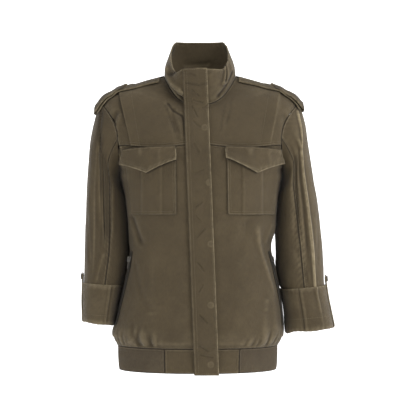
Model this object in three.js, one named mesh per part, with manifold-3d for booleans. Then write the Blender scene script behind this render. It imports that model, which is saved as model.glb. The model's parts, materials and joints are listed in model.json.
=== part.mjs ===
// A hip-length utility jacket in cotton twill, filled out as if worn, with nothing inside it.
// Millimetres. +Z is up, the front faces -Y, and the wearer's left is +X.
// The origin is the middle of the neck opening at the height of the shoulders.
// Angles round the body start at the centre front and turn towards the wearer's left.
import * as THREE from "three";
import { mergeVertices } from "three/addons/utils/BufferGeometryUtils.js";
import Module from "manifold-3d";

const wasm = await Module();
wasm.setup();

// Cloth
const CLOTH = 1.8;
const DOUBLE_CLOTH = 2.6;
const SEAM_GAP = 0.3;
const LAY_GAP = 0.7;

// Levels on the body, heights above the origin
const HEM_EDGE = -648;
const BAND_TOP = -594;
const CHEST_LEVEL = -215;
const NECK_LEVEL = 25;
const NECK_FRONT = -62;
const COLLAR_FRONT_TOP = 16;

// Armhole, as an oval cut in the body round the angle of the side seam
const ARMHOLE_TOP = -95;
const ARMHOLE_FRONT_TURN = rad(34);
const ARMHOLE_BACK_TURN = rad(27);
const ARMHOLE_POINTS = 24;

// Fly front
const FLY_HALF_WIDTH = 27;
const FLY_MIDDLE_TOP = -9;
const FLY_MIDDLE_HEM = 17;

// Turned-back cuffs
const CUFF_DEPTH = 90;

// Shoulder straps
const STRAP_HALF_WIDTH = 18;
const STRAP_THICK = 2.4;

// Buttons
const BUTTON_RADIUS = 7;

// Side pocket zips
const ZIP_HALF_WIDTH = 7;
const CHAIN_HALF_WIDTH = 2.6;
const CHAIN_RISE = 1.5;
const PULL_LENGTH = 21;
const PULL_HALF_WIDTH = 3.1;
const BAR_THICK = 1.4;
const BAR_HEIGHT = 3;

const COLOURS = {
  twill: { color: 0x5b5140, roughness: 0.92, metalness: 0 },
  rib: { color: 0x564d3d, roughness: 0.95, metalness: 0 },
  zipTape: { color: 0x3a342b, roughness: 0.9, metalness: 0 },
  darkMetal: { color: 0x4a4540, roughness: 0.35, metalness: 0.9 },
};

// Body sections: height, half widths, depths from the middle to the front and back, squareness
const BODY = [
  { z: HEM_EDGE, left: 174, right: 180, front: 118, back: 112, square: 2.3 },
  { z: -620, left: 175, right: 181, front: 119, back: 113, square: 2.3 },
  { z: BAND_TOP, left: 177, right: 183, front: 121, back: 115, square: 2.3 },
  { z: -582, left: 184, right: 190, front: 127, back: 121, square: 2.35 },
  { z: -564, left: 187, right: 192, front: 130, back: 124, square: 2.4 },
  { z: -542, left: 186, right: 184, front: 130, back: 123, square: 2.45 },
  { z: -510, left: 184, right: 176, front: 128, back: 119, square: 2.5 },
  { z: -470, left: 178, right: 167, front: 124, back: 112, square: 2.6 },
  { z: -430, left: 170, right: 160, front: 120, back: 105, square: 2.6 },
  { z: -370, left: 160, right: 154, front: 117, back: 99, square: 2.55 },
  { z: -320, left: 166, right: 156, front: 121, back: 100, square: 2.5 },
  { z: -270, left: 172, right: 161, front: 126, back: 104, square: 2.45 },
  { z: CHEST_LEVEL, left: 180, right: 172, front: 122, back: 108, square: 2.4 },
];

// Sleeves: distance down the arm, outer and inner edge as seen from the front, depth
const SLEEVE_LEFT = [
  { along: 0, outX: 221, outZ: -54, inX: 180, inZ: -214, midY: 2, front: 61, back: 57 },
  { along: 30, outX: 234, outZ: -72, inX: 188.5, inZ: -220, midY: 2, front: 64, back: 61 },
  { along: 60, outX: 239, outZ: -100, inX: 191.5, inZ: -228, midY: 2, front: 66, back: 64 },
  { along: 95, outX: 244, outZ: -135, inX: 189, inZ: -240, midY: 3, front: 67, back: 66 },
  { along: 140, outX: 250.5, outZ: -180, inX: 183, inZ: -258, midY: 4, front: 67, back: 67 },
  { along: 190, outX: 258, outZ: -228, inX: 181, inZ: -283, midY: 5, front: 66, back: 66 },
  { along: 240, outX: 266, outZ: -276, inX: 179.5, inZ: -314, midY: 5, front: 65, back: 65 },
  { along: 290, outX: 271.5, outZ: -322, inX: 178.5, inZ: -346, midY: 4, front: 64, back: 64 },
  { along: 340, outX: 276.5, outZ: -370, inX: 179, inZ: -386, midY: 2, front: 62, back: 62 },
  { along: 390, outX: 279, outZ: -420, inX: 181.5, inZ: -430, midY: -1, front: 60, back: 60 },
  { along: 440, outX: 281, outZ: -468, inX: 188, inZ: -476, midY: -6, front: 58, back: 58 },
  { along: 480, outX: 288, outZ: -508, inX: 194, inZ: -518, midY: -10, front: 57, back: 57 },
  { along: 522, outX: 296.5, outZ: -549, inX: 197.5, inZ: -563, midY: -14, front: 57, back: 57 },
  { along: 560, outX: 304, outZ: -587, inX: 200, inZ: -601, midY: -17, front: 57, back: 57 },
];
const SLEEVE_RIGHT = [
  { along: 0, outX: 219, outZ: -56, inX: 172, inZ: -214, midY: 2, front: 61, back: 57 },
  { along: 30, outX: 231, outZ: -74, inX: 180, inZ: -220, midY: 2, front: 64, back: 61 },
  { along: 60, outX: 236, outZ: -103, inX: 183, inZ: -228, midY: 2, front: 66, back: 64 },
  { along: 95, outX: 242, outZ: -137, inX: 180, inZ: -240, midY: 3, front: 67, back: 66 },
  { along: 140, outX: 246, outZ: -180, inX: 173.5, inZ: -258, midY: 4, front: 67, back: 67 },
  { along: 190, outX: 249.5, outZ: -228, inX: 170, inZ: -283, midY: 5, front: 66, back: 66 },
  { along: 240, outX: 252, outZ: -277, inX: 167, inZ: -314, midY: 5, front: 65, back: 65 },
  { along: 290, outX: 253.5, outZ: -326, inX: 164.5, inZ: -348, midY: 4, front: 64, back: 64 },
  { along: 340, outX: 255, outZ: -375, inX: 165, inZ: -388, midY: 2, front: 62, back: 62 },
  { along: 390, outX: 256, outZ: -424, inX: 172, inZ: -430, midY: -1, front: 60, back: 60 },
  { along: 430, outX: 256.5, outZ: -462, inX: 179, inZ: -467, midY: -6, front: 58, back: 58 },
  { along: 470, outX: 256.5, outZ: -499, inX: 187, inZ: -505, midY: -10, front: 57, back: 57 },
  { along: 512, outX: 255.5, outZ: -536, inX: 193, inZ: -546, midY: -13, front: 57, back: 57 },
  { along: 550, outX: 254, outZ: -574, inX: 197, inZ: -584, midY: -16, front: 57, back: 57 },
];
// The long seam at the front of a sleeve swings outwards on the way down, by an angle.
const SLEEVES = {
  left: { side: 1, rows: SLEEVE_LEFT, end: 522, seamSwing: 14 },
  right: { side: -1, rows: SLEEVE_RIGHT, end: 512, seamSwing: 4 },
};

// Folds in the body: angle at the top and bottom of the fold, its top and bottom height,
// half width in degrees, and depth, which is below zero for a trough
const BODY_FOLDS = [
  { turnTop: -29, turnBottom: -30, top: -525, bottom: -590, half: 2.4, depth: -4 },
  { turnTop: -36, turnBottom: -36, top: -515, bottom: -590, half: 3, depth: 2.5 },
  { turnTop: -41, turnBottom: -43, top: -500, bottom: -590, half: 2.6, depth: -5.5 },
  { turnTop: -48, turnBottom: -50, top: -520, bottom: -590, half: 3, depth: 2.5 },
  { turnTop: -58, turnBottom: -60, top: -540, bottom: -590, half: 3, depth: -3.5 },
  { turnTop: 38, turnBottom: 37, top: -545, bottom: -590, half: 2.6, depth: -4.5 },
  { turnTop: 48, turnBottom: 46, top: -520, bottom: -590, half: 2.8, depth: 4 },
  { turnTop: 54, turnBottom: 52, top: -500, bottom: -590, half: 2.6, depth: -5 },
  { turnTop: 66, turnBottom: 62, top: -535, bottom: -590, half: 3, depth: -3.5 },
  { turnTop: 20, turnBottom: 12, top: -300, bottom: -560, half: 7, depth: -3.5 },
  { turnTop: 46, turnBottom: 56, top: -300, bottom: -560, half: 5, depth: 4 },
  { turnTop: -20, turnBottom: -16, top: -330, bottom: -580, half: 6, depth: -2.5 },
  { turnTop: 105, turnBottom: 104, top: -520, bottom: -590, half: 3, depth: -4.5 },
  { turnTop: 124, turnBottom: 122, top: -490, bottom: -590, half: 3.4, depth: -5 },
  { turnTop: 142, turnBottom: 141, top: -530, bottom: -590, half: 3, depth: -4 },
  { turnTop: 160, turnBottom: 161, top: -500, bottom: -590, half: 3.2, depth: -5 },
  { turnTop: 181, turnBottom: 180, top: -525, bottom: -590, half: 3, depth: -4 },
  { turnTop: 199, turnBottom: 200, top: -495, bottom: -590, half: 3.4, depth: -5 },
  { turnTop: 219, turnBottom: 219, top: -530, bottom: -590, half: 3, depth: -4 },
  { turnTop: 238, turnBottom: 240, top: -500, bottom: -590, half: 3.2, depth: -5 },
  { turnTop: 256, turnBottom: 257, top: -525, bottom: -590, half: 3, depth: -4 },
  { turnTop: 118, turnBottom: 132, top: -190, bottom: -430, half: 7, depth: -4 },
  { turnTop: 242, turnBottom: 228, top: -190, bottom: -430, half: 7, depth: -4 },
];

// Folds down the sleeves: angle round the arm at the top and bottom, start and end down the arm
const SLEEVE_FOLDS = {
  left: [
    { turnTop: 76, turnBottom: 55, top: 40, bottom: 450, half: 7, depth: 4 },
    { turnTop: 108, turnBottom: 98, top: 30, bottom: 240, half: 8, depth: -4.5 },
    { turnTop: 262, turnBottom: 285, top: 150, bottom: 430, half: 14, depth: -3.5 },
    { turnTop: 330, turnBottom: 318, top: 60, bottom: 400, half: 12, depth: -3 },
  ],
  right: [
    { turnTop: 66, turnBottom: 84, top: 30, bottom: 330, half: 8, depth: -5 },
    { turnTop: 42, turnBottom: 44, top: 60, bottom: 420, half: 9, depth: 2.5 },
    { turnTop: 265, turnBottom: 285, top: 150, bottom: 430, half: 14, depth: -3.5 },
    { turnTop: 325, turnBottom: 315, top: 60, bottom: 400, half: 12, depth: -3 },
  ],
};

function rad(degrees) {
  return (degrees * Math.PI) / 180;
}

function mix(a, b, t) {
  return a + (b - a) * t;
}

function smooth(low, high, x) {
  const t = Math.min(1, Math.max(0, (x - low) / (high - low)));
  return t * t * (3 - 2 * t);
}

function signedPower(x, power) {
  return Math.sign(x) * Math.abs(x) ** power;
}

function spread(from, to, count) {
  return Array.from({ length: count + 1 }, (_, i) => mix(from, to, i / count));
}

// A column of a table at any value of its key, along a smooth curve through the rows.
function readTable(table, key, column, at) {
  const last = table.length - 1;
  const x = Math.min(Math.max(at, table[0][key]), table[last][key]);
  let i = 0;
  while (i < last - 1 && table[i + 1][key] < x) i += 1;
  const slope = (k) => {
    const a = table[Math.max(k - 1, 0)];
    const b = table[Math.min(k + 1, last)];
    return (b[column] - a[column]) / (b[key] - a[key]);
  };
  const a = table[i];
  const b = table[i + 1];
  const h = b[key] - a[key];
  const t = (x - a[key]) / h;
  const start = (1 + 2 * t) * (1 - t) ** 2 * a[column] + t * (1 - t) ** 2 * h * slope(i);
  const end = t * t * (3 - 2 * t) * b[column] + t * t * (t - 1) * h * slope(i + 1);
  return start + end;
}

// A rounded-square ring round the body: half widths to each side, depth to front and back.
function ringPoint(turn, left, right, front, back, square, z) {
  const across = signedPower(Math.sin(turn), 2 / square);
  const ahead = signedPower(Math.cos(turn), 2 / square);
  const x = across * (across > 0 ? left : right);
  const y = -ahead * (ahead > 0 ? front : back);
  return new THREE.Vector3(x, y, z);
}

function neckPoint(turn) {
  const sine = Math.abs(Math.sin(turn));
  const low = Math.cos(turn) > 0 ? NECK_FRONT : 14;
  return ringPoint(turn, 82, 78, 78, 62, 2.2, mix(low, 6, sine ** 2.5));
}

// The body from hem to chest follows the table. Above, each line up the body curves over the
// shoulder to the neck, pulled towards a wide ring at shoulder height.
function plainBody(turn, level) {
  const z = Math.min(level, CHEST_LEVEL);
  const [left, right, front, back, square] = ["left", "right", "front", "back", "square"].map(
    (column) => readTable(BODY, "z", column, z),
  );
  const low = ringPoint(turn, left, right, front, back, square, z);
  if (level <= CHEST_LEVEL) return low;
  const w = Math.min(1, (level - CHEST_LEVEL) / (NECK_LEVEL - CHEST_LEVEL));
  const sine = Math.abs(Math.sin(turn));
  const shoulderZ = mix(Math.cos(turn) > 0 ? -100 : -58, -38, sine ** 2.5);
  const pull = ringPoint(turn, 250, 248, 112, 100, 2.3, shoulderZ);
  const weight = 1 + 2 * sine ** 3;
  const shares = [(1 - w) ** 2, 2 * w * (1 - w) * weight, w * w];
  const total = shares[0] + shares[1] + shares[2];
  return low
    .multiplyScalar(shares[0])
    .addScaledVector(pull, shares[1])
    .addScaledVector(neckPoint(turn), shares[2])
    .divideScalar(total);
}

// The same body with the bend at chest height eased.
function easedBody(turn, level) {
  const reach = 28 * Math.max(0, 1 - Math.abs(level - CHEST_LEVEL) / 60);
  if (reach === 0) return plainBody(turn, level);
  return plainBody(turn, level)
    .multiplyScalar(2)
    .add(plainBody(turn, level - reach))
    .add(plainBody(turn, level + reach))
    .divideScalar(4);
}

// The outward normal of a surface at (u, v), where v grows upwards and u towards the left.
function normalOf(surface, u, v, du, dv) {
  const alongU = surface(u + du, v).sub(surface(u - du, v));
  const alongV = surface(u, v + dv).sub(surface(u, v - dv));
  return alongU.cross(alongV).normalize();
}

function foldDepth(folds, turnDegrees, level, topward) {
  let total = 0;
  for (const fold of folds) {
    const t = (level - fold.top) / (fold.bottom - fold.top);
    if (t < -0.1 || t > 1.1) continue;
    const centre = mix(fold.turnTop, fold.turnBottom, t);
    const away = ((turnDegrees - centre + 540) % 360) - 180;
    const fade = topward ? smooth(-0.05, 0.8, t) * smooth(1.05, 0.95, t) : smooth(0, 0.25, t) * smooth(1, 0.75, t);
    total += fold.depth * Math.exp(-((away / fold.half) ** 2)) * fade;
  }
  return total;
}

function body(turn, level) {
  const depth = foldDepth(BODY_FOLDS, (turn * 180) / Math.PI, level, level < -480);
  const point = easedBody(turn, level);
  if (Math.abs(depth) < 1e-3) return point;
  return point.addScaledVector(normalOf(easedBody, turn, level, 0.01, 2), depth);
}

const bodyNormal = (turn, level) => normalOf(body, turn, level, 0.004, 1);

// Closes an outer and an inner grid of points into one solid wall.
function wall(outer, inner, wrap = false) {
  const rows = outer.length;
  const columns = outer[0].length;
  const points = [...outer.flat(), ...inner.flat()];
  const at = (layer, i, j) => layer * rows * columns + i * columns + (j % columns);
  const faces = [];
  const quad = (a, b, c, d) => faces.push(a, b, c, a, c, d);
  const lastColumn = wrap ? columns : columns - 1;
  for (let i = 0; i < rows - 1; i += 1) {
    for (let j = 0; j < lastColumn; j += 1) {
      quad(at(0, i, j), at(0, i, j + 1), at(0, i + 1, j + 1), at(0, i + 1, j));
      quad(at(1, i, j), at(1, i + 1, j), at(1, i + 1, j + 1), at(1, i, j + 1));
    }
    if (!wrap) {
      quad(at(0, i, 0), at(0, i + 1, 0), at(1, i + 1, 0), at(1, i, 0));
      const e = columns - 1;
      quad(at(0, i, e), at(1, i, e), at(1, i + 1, e), at(0, i + 1, e));
    }
  }
  for (let j = 0; j < lastColumn; j += 1) {
    quad(at(0, 0, j), at(1, 0, j), at(1, 0, j + 1), at(0, 0, j + 1));
    const e = rows - 1;
    quad(at(0, e, j), at(0, e, j + 1), at(1, e, j + 1), at(1, e, j));
  }
  return facingOut(points, faces);
}

// A closed profile carried round a loop, or along a strip with flat ends.
function carried(profileCount, stations, place, wrap) {
  const grid = stations.map((s) => Array.from({ length: profileCount }, (_, k) => place(s, k)));
  const points = grid.flat();
  const at = (i, k) => (i % stations.length) * profileCount + (k % profileCount);
  const faces = [];
  const spans = wrap ? stations.length : stations.length - 1;
  for (let i = 0; i < spans; i += 1) {
    for (let k = 0; k < profileCount; k += 1) {
      faces.push(at(i, k), at(i, k + 1), at(i + 1, k + 1), at(i, k), at(i + 1, k + 1), at(i + 1, k));
    }
  }
  return facingOut(points, faces);
}

// Builds the geometry, turned so that its faces point out of the solid.
function facingOut(points, faces) {
  let volume = 0;
  for (let i = 0; i < faces.length; i += 3) {
    const [a, b, c] = [points[faces[i]], points[faces[i + 1]], points[faces[i + 2]]];
    volume += a.dot(b.clone().cross(c));
  }
  if (volume < 0) faces.reverse();
  const geometry = new THREE.BufferGeometry();
  geometry.setAttribute(
    "position",
    new THREE.Float32BufferAttribute(points.flatMap((p) => [p.x, p.y, p.z]), 3),
  );
  geometry.setIndex(faces);
  geometry.computeVertexNormals();
  return geometry;
}

function solidOf(geometry) {
  const bare = new THREE.BufferGeometry();
  bare.setAttribute("position", geometry.getAttribute("position"));
  bare.setIndex(geometry.getIndex());
  const merged = mergeVertices(bare, 1e-4);
  const index = [...merged.index.array];
  const kept = index.filter((_, i) => {
    const [a, b, c] = index.slice(i - (i % 3), i - (i % 3) + 3);
    return a !== b && b !== c && a !== c;
  });
  const solid = new wasm.Manifold(
    new wasm.Mesh({
      numProp: 3,
      vertProperties: new Float32Array(merged.attributes.position.array),
      triVerts: new Uint32Array(kept),
    }),
  );
  return solid;
}

function geometryOf(solid) {
  const { vertProperties, triVerts } = solid.getMesh();
  const geometry = new THREE.BufferGeometry();
  geometry.setAttribute("position", new THREE.Float32BufferAttribute([...vertProperties], 3));
  geometry.setIndex([...triVerts]);
  geometry.computeVertexNormals();
  return geometry;
}

// A wall on a surface, between two heights above it.
function clothOn(surface, normal, grid, innerLift, outerLift, wrap = false) {
  const lifted = (lift) =>
    grid.map((row) =>
      row.map(([u, v]) => {
        const height = typeof lift === "function" ? lift(u, v) : lift;
        return surface(u, v).addScaledVector(normal(u, v), height);
      }),
    );
  return wall(lifted(outerLift), lifted(innerLift), wrap);
}

const jacket = new THREE.Group();
jacket.name = "utility_jacket";
const materials = Object.fromEntries(
  Object.entries(COLOURS).map(([name, look]) => [name, new THREE.MeshStandardMaterial(look)]),
);

function add(name, geometry, material = "twill") {
  const mesh = new THREE.Mesh(geometry, materials[material]);
  mesh.name = name;
  jacket.add(mesh);
  return mesh;
}

// Centre front and armhole lines

function flyMiddle(z) {
  return mix(FLY_MIDDLE_TOP, FLY_MIDDLE_HEM, (COLLAR_FRONT_TOP - z) / (COLLAR_FRONT_TOP - HEM_EDGE));
}

// The angle at which a ring of a surface crosses the centre front.
function centreTurn(surface, level) {
  let low = rad(-30);
  let high = rad(30);
  for (let i = 0; i < 40; i += 1) {
    const middle = (low + high) / 2;
    const p = surface(middle, level);
    if (p.x < flyMiddle(p.z)) low = middle;
    else high = middle;
  }
  return (low + high) / 2;
}

const ARMHOLE_MIDDLE = (ARMHOLE_TOP + CHEST_LEVEL) / 2;
const ARMHOLE_HALF = (ARMHOLE_TOP - CHEST_LEVEL) / 2;

// Half the armhole's opening, as an angle, at a level of the body.
function armholeTurn(level, widest) {
  const cosine = (level - ARMHOLE_MIDDLE) / ARMHOLE_HALF;
  return Math.abs(cosine) >= 1 ? 0 : widest * Math.sqrt(1 - cosine * cosine);
}

// The armhole's edge: 0 at the shoulder, a quarter turn at the front, half a turn underarm.
function armholeEdge(side, round) {
  const level = ARMHOLE_MIDDLE + ARMHOLE_HALF * Math.cos(round);
  const sine = Math.sin(round);
  const away = sine * (sine > 0 ? ARMHOLE_FRONT_TURN : ARMHOLE_BACK_TURN);
  return [side * (Math.PI / 2 - away), level];
}

// Rows shared by every panel that ends at the armhole, so that their points meet
const UNDERARM_ROWS = [-572, -552, -530, -500, -465, -430, -393, -355, -316, -277, -243];
const armholeRow = (degrees) => ARMHOLE_MIDDLE + ARMHOLE_HALF * Math.cos(rad(degrees));
const stepDegrees = 360 / ARMHOLE_POINTS;
const YOKE_SEAM_STEP = 8;
const YOKE_SEAM_CENTRE = -136;

// Fronts: each side seam edge row has its own level, and the centre edge another.
function frontGrid(side, rows, columns) {
  return rows.map(({ edge, centre }) => {
    const edgeTurn = Math.PI / 2 - armholeTurn(edge, ARMHOLE_FRONT_TURN);
    return columns.map((s) => {
      const level = mix(centre, edge, s);
      const ring = (turn, at) => body(turn, at);
      const middle = centreTurn(ring, level) + side * (SEAM_GAP / 240);
      const seam = side * (edgeTurn - (s > 0.99 ? SEAM_GAP / 300 : 0));
      return [mix(middle, seam, s), level];
    });
  });
}

const FRONT_COLUMNS = {
  right: [0, 0.1, 0.2, 0.29, 0.36, 0.4, 0.43, 0.46, 0.49, 0.52, 0.55, 0.59, 0.64, 0.7, 0.78, 0.88, 1],
  left: [0, 0.1, 0.2, 0.29, 0.35, 0.39, 0.43, 0.48, 0.52, 0.56, 0.6, 0.64, 0.69, 0.74, 0.81, 0.9, 1],
};

function frontRows() {
  const low = [BAND_TOP + SEAM_GAP / 2, -586, ...UNDERARM_ROWS].map((level) => ({ edge: level, centre: level }));
  const upper = [];
  for (let k = 12; k >= YOKE_SEAM_STEP; k -= 1) {
    const share = (12 - k) / (12 - YOKE_SEAM_STEP);
    upper.push({ edge: armholeRow(k * stepDegrees), centre: mix(CHEST_LEVEL, YOKE_SEAM_CENTRE, share) });
  }
  const last = upper.at(-1);
  last.edge -= SEAM_GAP / 2;
  last.centre -= SEAM_GAP / 2;
  return [...low, ...upper];
}

function yokeRows() {
  const rows = [];
  const shoulder = [0.2, 0.45, 0.7, 1];
  const steps = YOKE_SEAM_STEP + shoulder.length;
  for (let k = YOKE_SEAM_STEP; k >= 0; k -= 1) {
    const share = (YOKE_SEAM_STEP - k) / steps;
    rows.push({ edge: armholeRow(k * stepDegrees), centre: mix(YOKE_SEAM_CENTRE, NECK_LEVEL, share) });
  }
  shoulder.forEach((s, i) => {
    const share = (YOKE_SEAM_STEP + i + 1) / steps;
    rows.push({
      edge: mix(ARMHOLE_TOP, NECK_LEVEL, s),
      centre: mix(YOKE_SEAM_CENTRE, NECK_LEVEL, share),
    });
  });
  rows[0].edge += SEAM_GAP / 2;
  rows[0].centre += SEAM_GAP / 2;
  return rows;
}

const YOKE_COLUMNS = [0, 0.14, 0.28, 0.42, 0.55, 0.67, 0.78, 0.89, 1];

// Each yoke has a tuck from the shoulder to its lower seam, folded towards the armhole: from its
// sewn line the cloth rises to the fold, then drops to the yoke again.
const TUCKS = {
  right: { sewnTop: -149, foldTop: -176, sewnBottom: -130, foldBottom: -149 },
  left: { sewnTop: 154, foldTop: 178, sewnBottom: 135, foldBottom: 157 },
};
const TUCK_TOP = -40;
const TUCK_BOTTOM = -144;
const TUCK_RISE = 2.6;

for (const side of ["right", "left"]) {
  const sign = SLEEVES[side].side;
  const frontPanel = frontGrid(sign, frontRows(), FRONT_COLUMNS[side]);
  add(`front_${side}`, clothOn(body, bodyNormal, frontPanel, -CLOTH, 0));

  const yokePanel = frontGrid(sign, yokeRows(), YOKE_COLUMNS);
  const yoke = solidOf(clothOn(body, bodyNormal, yokePanel, -CLOTH, 0));
  const tuck = TUCKS[side];
  const rows = spread(0, 1, 8).map((down) =>
    spread(0, 1, 3).map((s) => {
      const top = mix(tuck.sewnTop, tuck.foldTop, s);
      const bottom = mix(tuck.sewnBottom, tuck.foldBottom, s);
      const place = onBody(mix(top, bottom, down), mix(TUCK_TOP, TUCK_BOTTOM, down));
      return { place, rise: 0.1 + TUCK_RISE * s };
    }),
  );
  const lifted = (height) =>
    rows.map((row) =>
      row.map(({ place, rise }) => {
        const [turn, level] = place;
        return body(turn, level).addScaledVector(bodyNormal(turn, level), height ?? rise);
      }),
    );
  add(`yoke_${side}`, geometryOf(yoke.add(solidOf(wall(lifted(), lifted(-1.1))))));
}

// Back: one panel from side seam to side seam, and from the band to the neck.
function backGrid() {
  const levels = [
    BAND_TOP + SEAM_GAP / 2,
    -586,
    ...UNDERARM_ROWS,
    ...Array.from({ length: 13 }, (_, i) => armholeRow((12 - i) * stepDegrees)),
    ...[0.2, 0.45, 0.7, 1].map((s) => mix(ARMHOLE_TOP, NECK_LEVEL, s)),
  ];
  return levels.map((level) => {
    const inset = armholeTurn(level, ARMHOLE_BACK_TURN) + SEAM_GAP / 300;
    return spread(Math.PI / 2 + inset, 1.5 * Math.PI - inset, 20).map((turn) => [turn, level]);
  });
}
add("back", clothOn(body, bodyNormal, backGrid(), -CLOTH, 0));

// Hem: a rib band round the sides and back, and a flat piece on each front beside the fly
const RIB_END = { left: rad(27), right: rad(21) };
const HEM_LEVELS = [HEM_EDGE, -634, -614, BAND_TOP - SEAM_GAP / 2];

function hemGrid(from, to, count) {
  const inset = SEAM_GAP / 300;
  return HEM_LEVELS.map((level) => spread(from + inset, to - inset, count).map((turn) => [turn, level]));
}
const hemMiddle = centreTurn(body, HEM_EDGE);
add(
  "hem_band",
  clothOn(body, bodyNormal, hemGrid(RIB_END.left, 2 * Math.PI - RIB_END.right, 44), -DOUBLE_CLOTH, 0),
  "rib",
);
add(
  "hem_front_left",
  clothOn(body, bodyNormal, hemGrid(hemMiddle, RIB_END.left, 6), -DOUBLE_CLOTH, 0),
);
add(
  "hem_front_right",
  clothOn(body, bodyNormal, hemGrid(-RIB_END.right, hemMiddle, 6), -DOUBLE_CLOTH, 0),
);

// Collar: a high stand, lower in front than behind, that leans in at the back
function collar(turn, height) {
  const away = Math.abs(((turn + Math.PI) % (2 * Math.PI)) - Math.PI);
  const degrees = (away * 180) / Math.PI;
  const onRight = Math.sin(turn) < 0;
  const dip = onRight ? 9 * Math.exp(-(((degrees - 48) / 16) ** 2)) : 0;
  const top = COLLAR_FRONT_TOP + 74 * smooth(35, 135, degrees) - dip;
  const rim = ringPoint(turn, 66, 64, 97, 50, 3, top);
  const base = neckPoint(turn);
  const belly = 5 * Math.sin(Math.PI * height);
  const out = new THREE.Vector3(Math.sin(turn), -Math.cos(turn), 0);
  return base.lerp(rim, height).addScaledVector(out, belly);
}
const collarNormal = (turn, height) => normalOf(collar, turn, height, 0.01, 0.02);
const collarTurns = spread(rad(4), rad(356), 34);
const collarHeights = [0.006, 0.2, 0.4, 0.6, 0.8, 1];
const collarEnds = collarHeights.map((height) => {
  const middle = centreTurn(collar, height);
  return collarTurns.map((turn, i) => {
    if (i === 0) return [middle + SEAM_GAP / 160, height];
    if (i === collarTurns.length - 1) return [middle + 2 * Math.PI - SEAM_GAP / 160, height];
    return [turn, height];
  });
});
add("collar", clothOn(collar, collarNormal, collarEnds, -DOUBLE_CLOTH, 0));

// The place on a surface whose front view is (x, z), as its own two parameters.
function locate(surface, x, z, u, v, du, dv) {
  for (let i = 0; i < 30; i += 1) {
    const p = surface(u, v);
    const [ex, ez] = [x - p.x, z - p.z];
    if (Math.abs(ex) + Math.abs(ez) < 1e-4) break;
    const pu = surface(u + du, v).sub(p).divideScalar(du);
    const pv = surface(u, v + dv).sub(p).divideScalar(dv);
    const whole = pu.x * pv.z - pv.x * pu.z;
    u += 0.8 * THREE.MathUtils.clamp((ex * pv.z - ez * pv.x) / whole, -0.2, 0.2);
    v += 0.8 * THREE.MathUtils.clamp((pu.x * ez - pu.z * ex) / whole, -40 * dv, 40 * dv);
  }
  return [u, v];
}

function onBody(x, z) {
  const reach = THREE.MathUtils.clamp(x / 185, -0.95, 0.95);
  return locate(body, x, z, Math.asin(reach), Math.min(z, -100), 0.002, 0.5);
}

// A patch laid on the front: a list of columns (x) for each row (z).
function laidGrid(rows) {
  return rows.map((row) => row.map(([x, z]) => onBody(x, z)));
}

// Patch pockets: raised box pleat down the middle
const POCKETS = {
  right: { outerTop: -162, outerBottom: -146, innerTop: -49, innerBottom: -47, pleatOut: -124, pleatIn: -79 },
  left: { outerTop: 175, outerBottom: 163, innerTop: 60, innerBottom: 62, pleatOut: 138, pleatIn: 94 },
};
const POCKET_LEVELS = [-303, -277, -258, -243, -229, -215, -188, -161];
const PLEAT_RISE = 1.6;

for (const side of ["right", "left"]) {
  const pocket = POCKETS[side];
  const rows = POCKET_LEVELS.map((z, i) => {
    const outer = mix(pocket.outerBottom, pocket.outerTop, smooth(0, 7, i));
    const inner = mix(pocket.innerBottom, pocket.innerTop, i / 7);
    const edges = [
      inner,
      mix(inner, pocket.pleatIn, 0.5),
      pocket.pleatIn - Math.sign(outer) * 1.5,
      pocket.pleatIn + Math.sign(outer) * 1.5,
      mix(pocket.pleatIn, pocket.pleatOut, 0.35),
      mix(pocket.pleatIn, pocket.pleatOut, 0.68),
      pocket.pleatOut - Math.sign(outer) * 1.5,
      pocket.pleatOut + Math.sign(outer) * 1.5,
      mix(pocket.pleatOut, outer, 0.4),
      mix(pocket.pleatOut, outer, 0.7),
      mix(pocket.pleatOut, outer, 0.88),
      outer,
    ];
    return edges.map((x) => [x, z]);
  });
  const grid = laidGrid(rows);
  const raised = grid.map((row) => row.map((place, j) => (j > 2 && j < 7 ? PLEAT_RISE : 0)));
  const top = grid.map((row, i) =>
    row.map(([u, v], j) => {
      const lift = LAY_GAP + CLOTH + raised[i][j];
      return body(u, v).addScaledVector(bodyNormal(u, v), lift);
    }),
  );
  const under = grid.map((row) =>
    row.map(([u, v]) => body(u, v).addScaledVector(bodyNormal(u, v), LAY_GAP)),
  );
  add(`pocket_${side}`, wall(top, under));
}

// Pocket flaps: pointed in the middle, sewn at the yoke seam, standing off at the lower edge
const FLAPS = {
  right: { outer: -168, inner: -48, outerTop: -164, innerTop: -49, cornerOut: -183, cornerIn: -179, point: -111 },
  left: { outer: 182, inner: 58, outerTop: 177, innerTop: 57, cornerOut: -181, cornerIn: -173, point: 125 },
};
const FLAP_TOP = -150;
const FLAP_POINT = -202;
const FLAP_LIFT = LAY_GAP + CLOTH + PLEAT_RISE + LAY_GAP;

for (const side of ["right", "left"]) {
  const flap = FLAPS[side];
  const columns = spread(0, 1, 12);
  const pointShare = (flap.point - flap.inner) / (flap.outer - flap.inner);
  const rows = spread(0, 1, 4).map((down) =>
    columns.map((s) => {
      const corner = s < pointShare ? flap.cornerIn : flap.cornerOut;
      const rise = s < pointShare ? s / pointShare : (1 - s) / (1 - pointShare);
      const low = mix(corner, FLAP_POINT, rise ** 1.25);
      const z = mix(FLAP_TOP - 4 * s * s, low, down);
      const x = mix(mix(flap.innerTop, flap.outerTop, s), mix(flap.inner, flap.outer, s), down);
      return [x, z, down];
    }),
  );
  const lifted = (thick) =>
    rows.map((row) =>
      row.map(([x, z, down]) => {
        const [u, v] = onBody(x, z);
        const lift = FLAP_LIFT + 2.4 * smooth(0.3, 1, down) + thick;
        return body(u, v).addScaledVector(bodyNormal(u, v), lift);
      }),
    );
  add(`flap_${side}`, wall(lifted(CLOTH), lifted(0)));
}

// Fly: one long strip from the hem to the top of the collar, free at the wearer's left edge
const collarBase = NECK_FRONT + 4;

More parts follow.
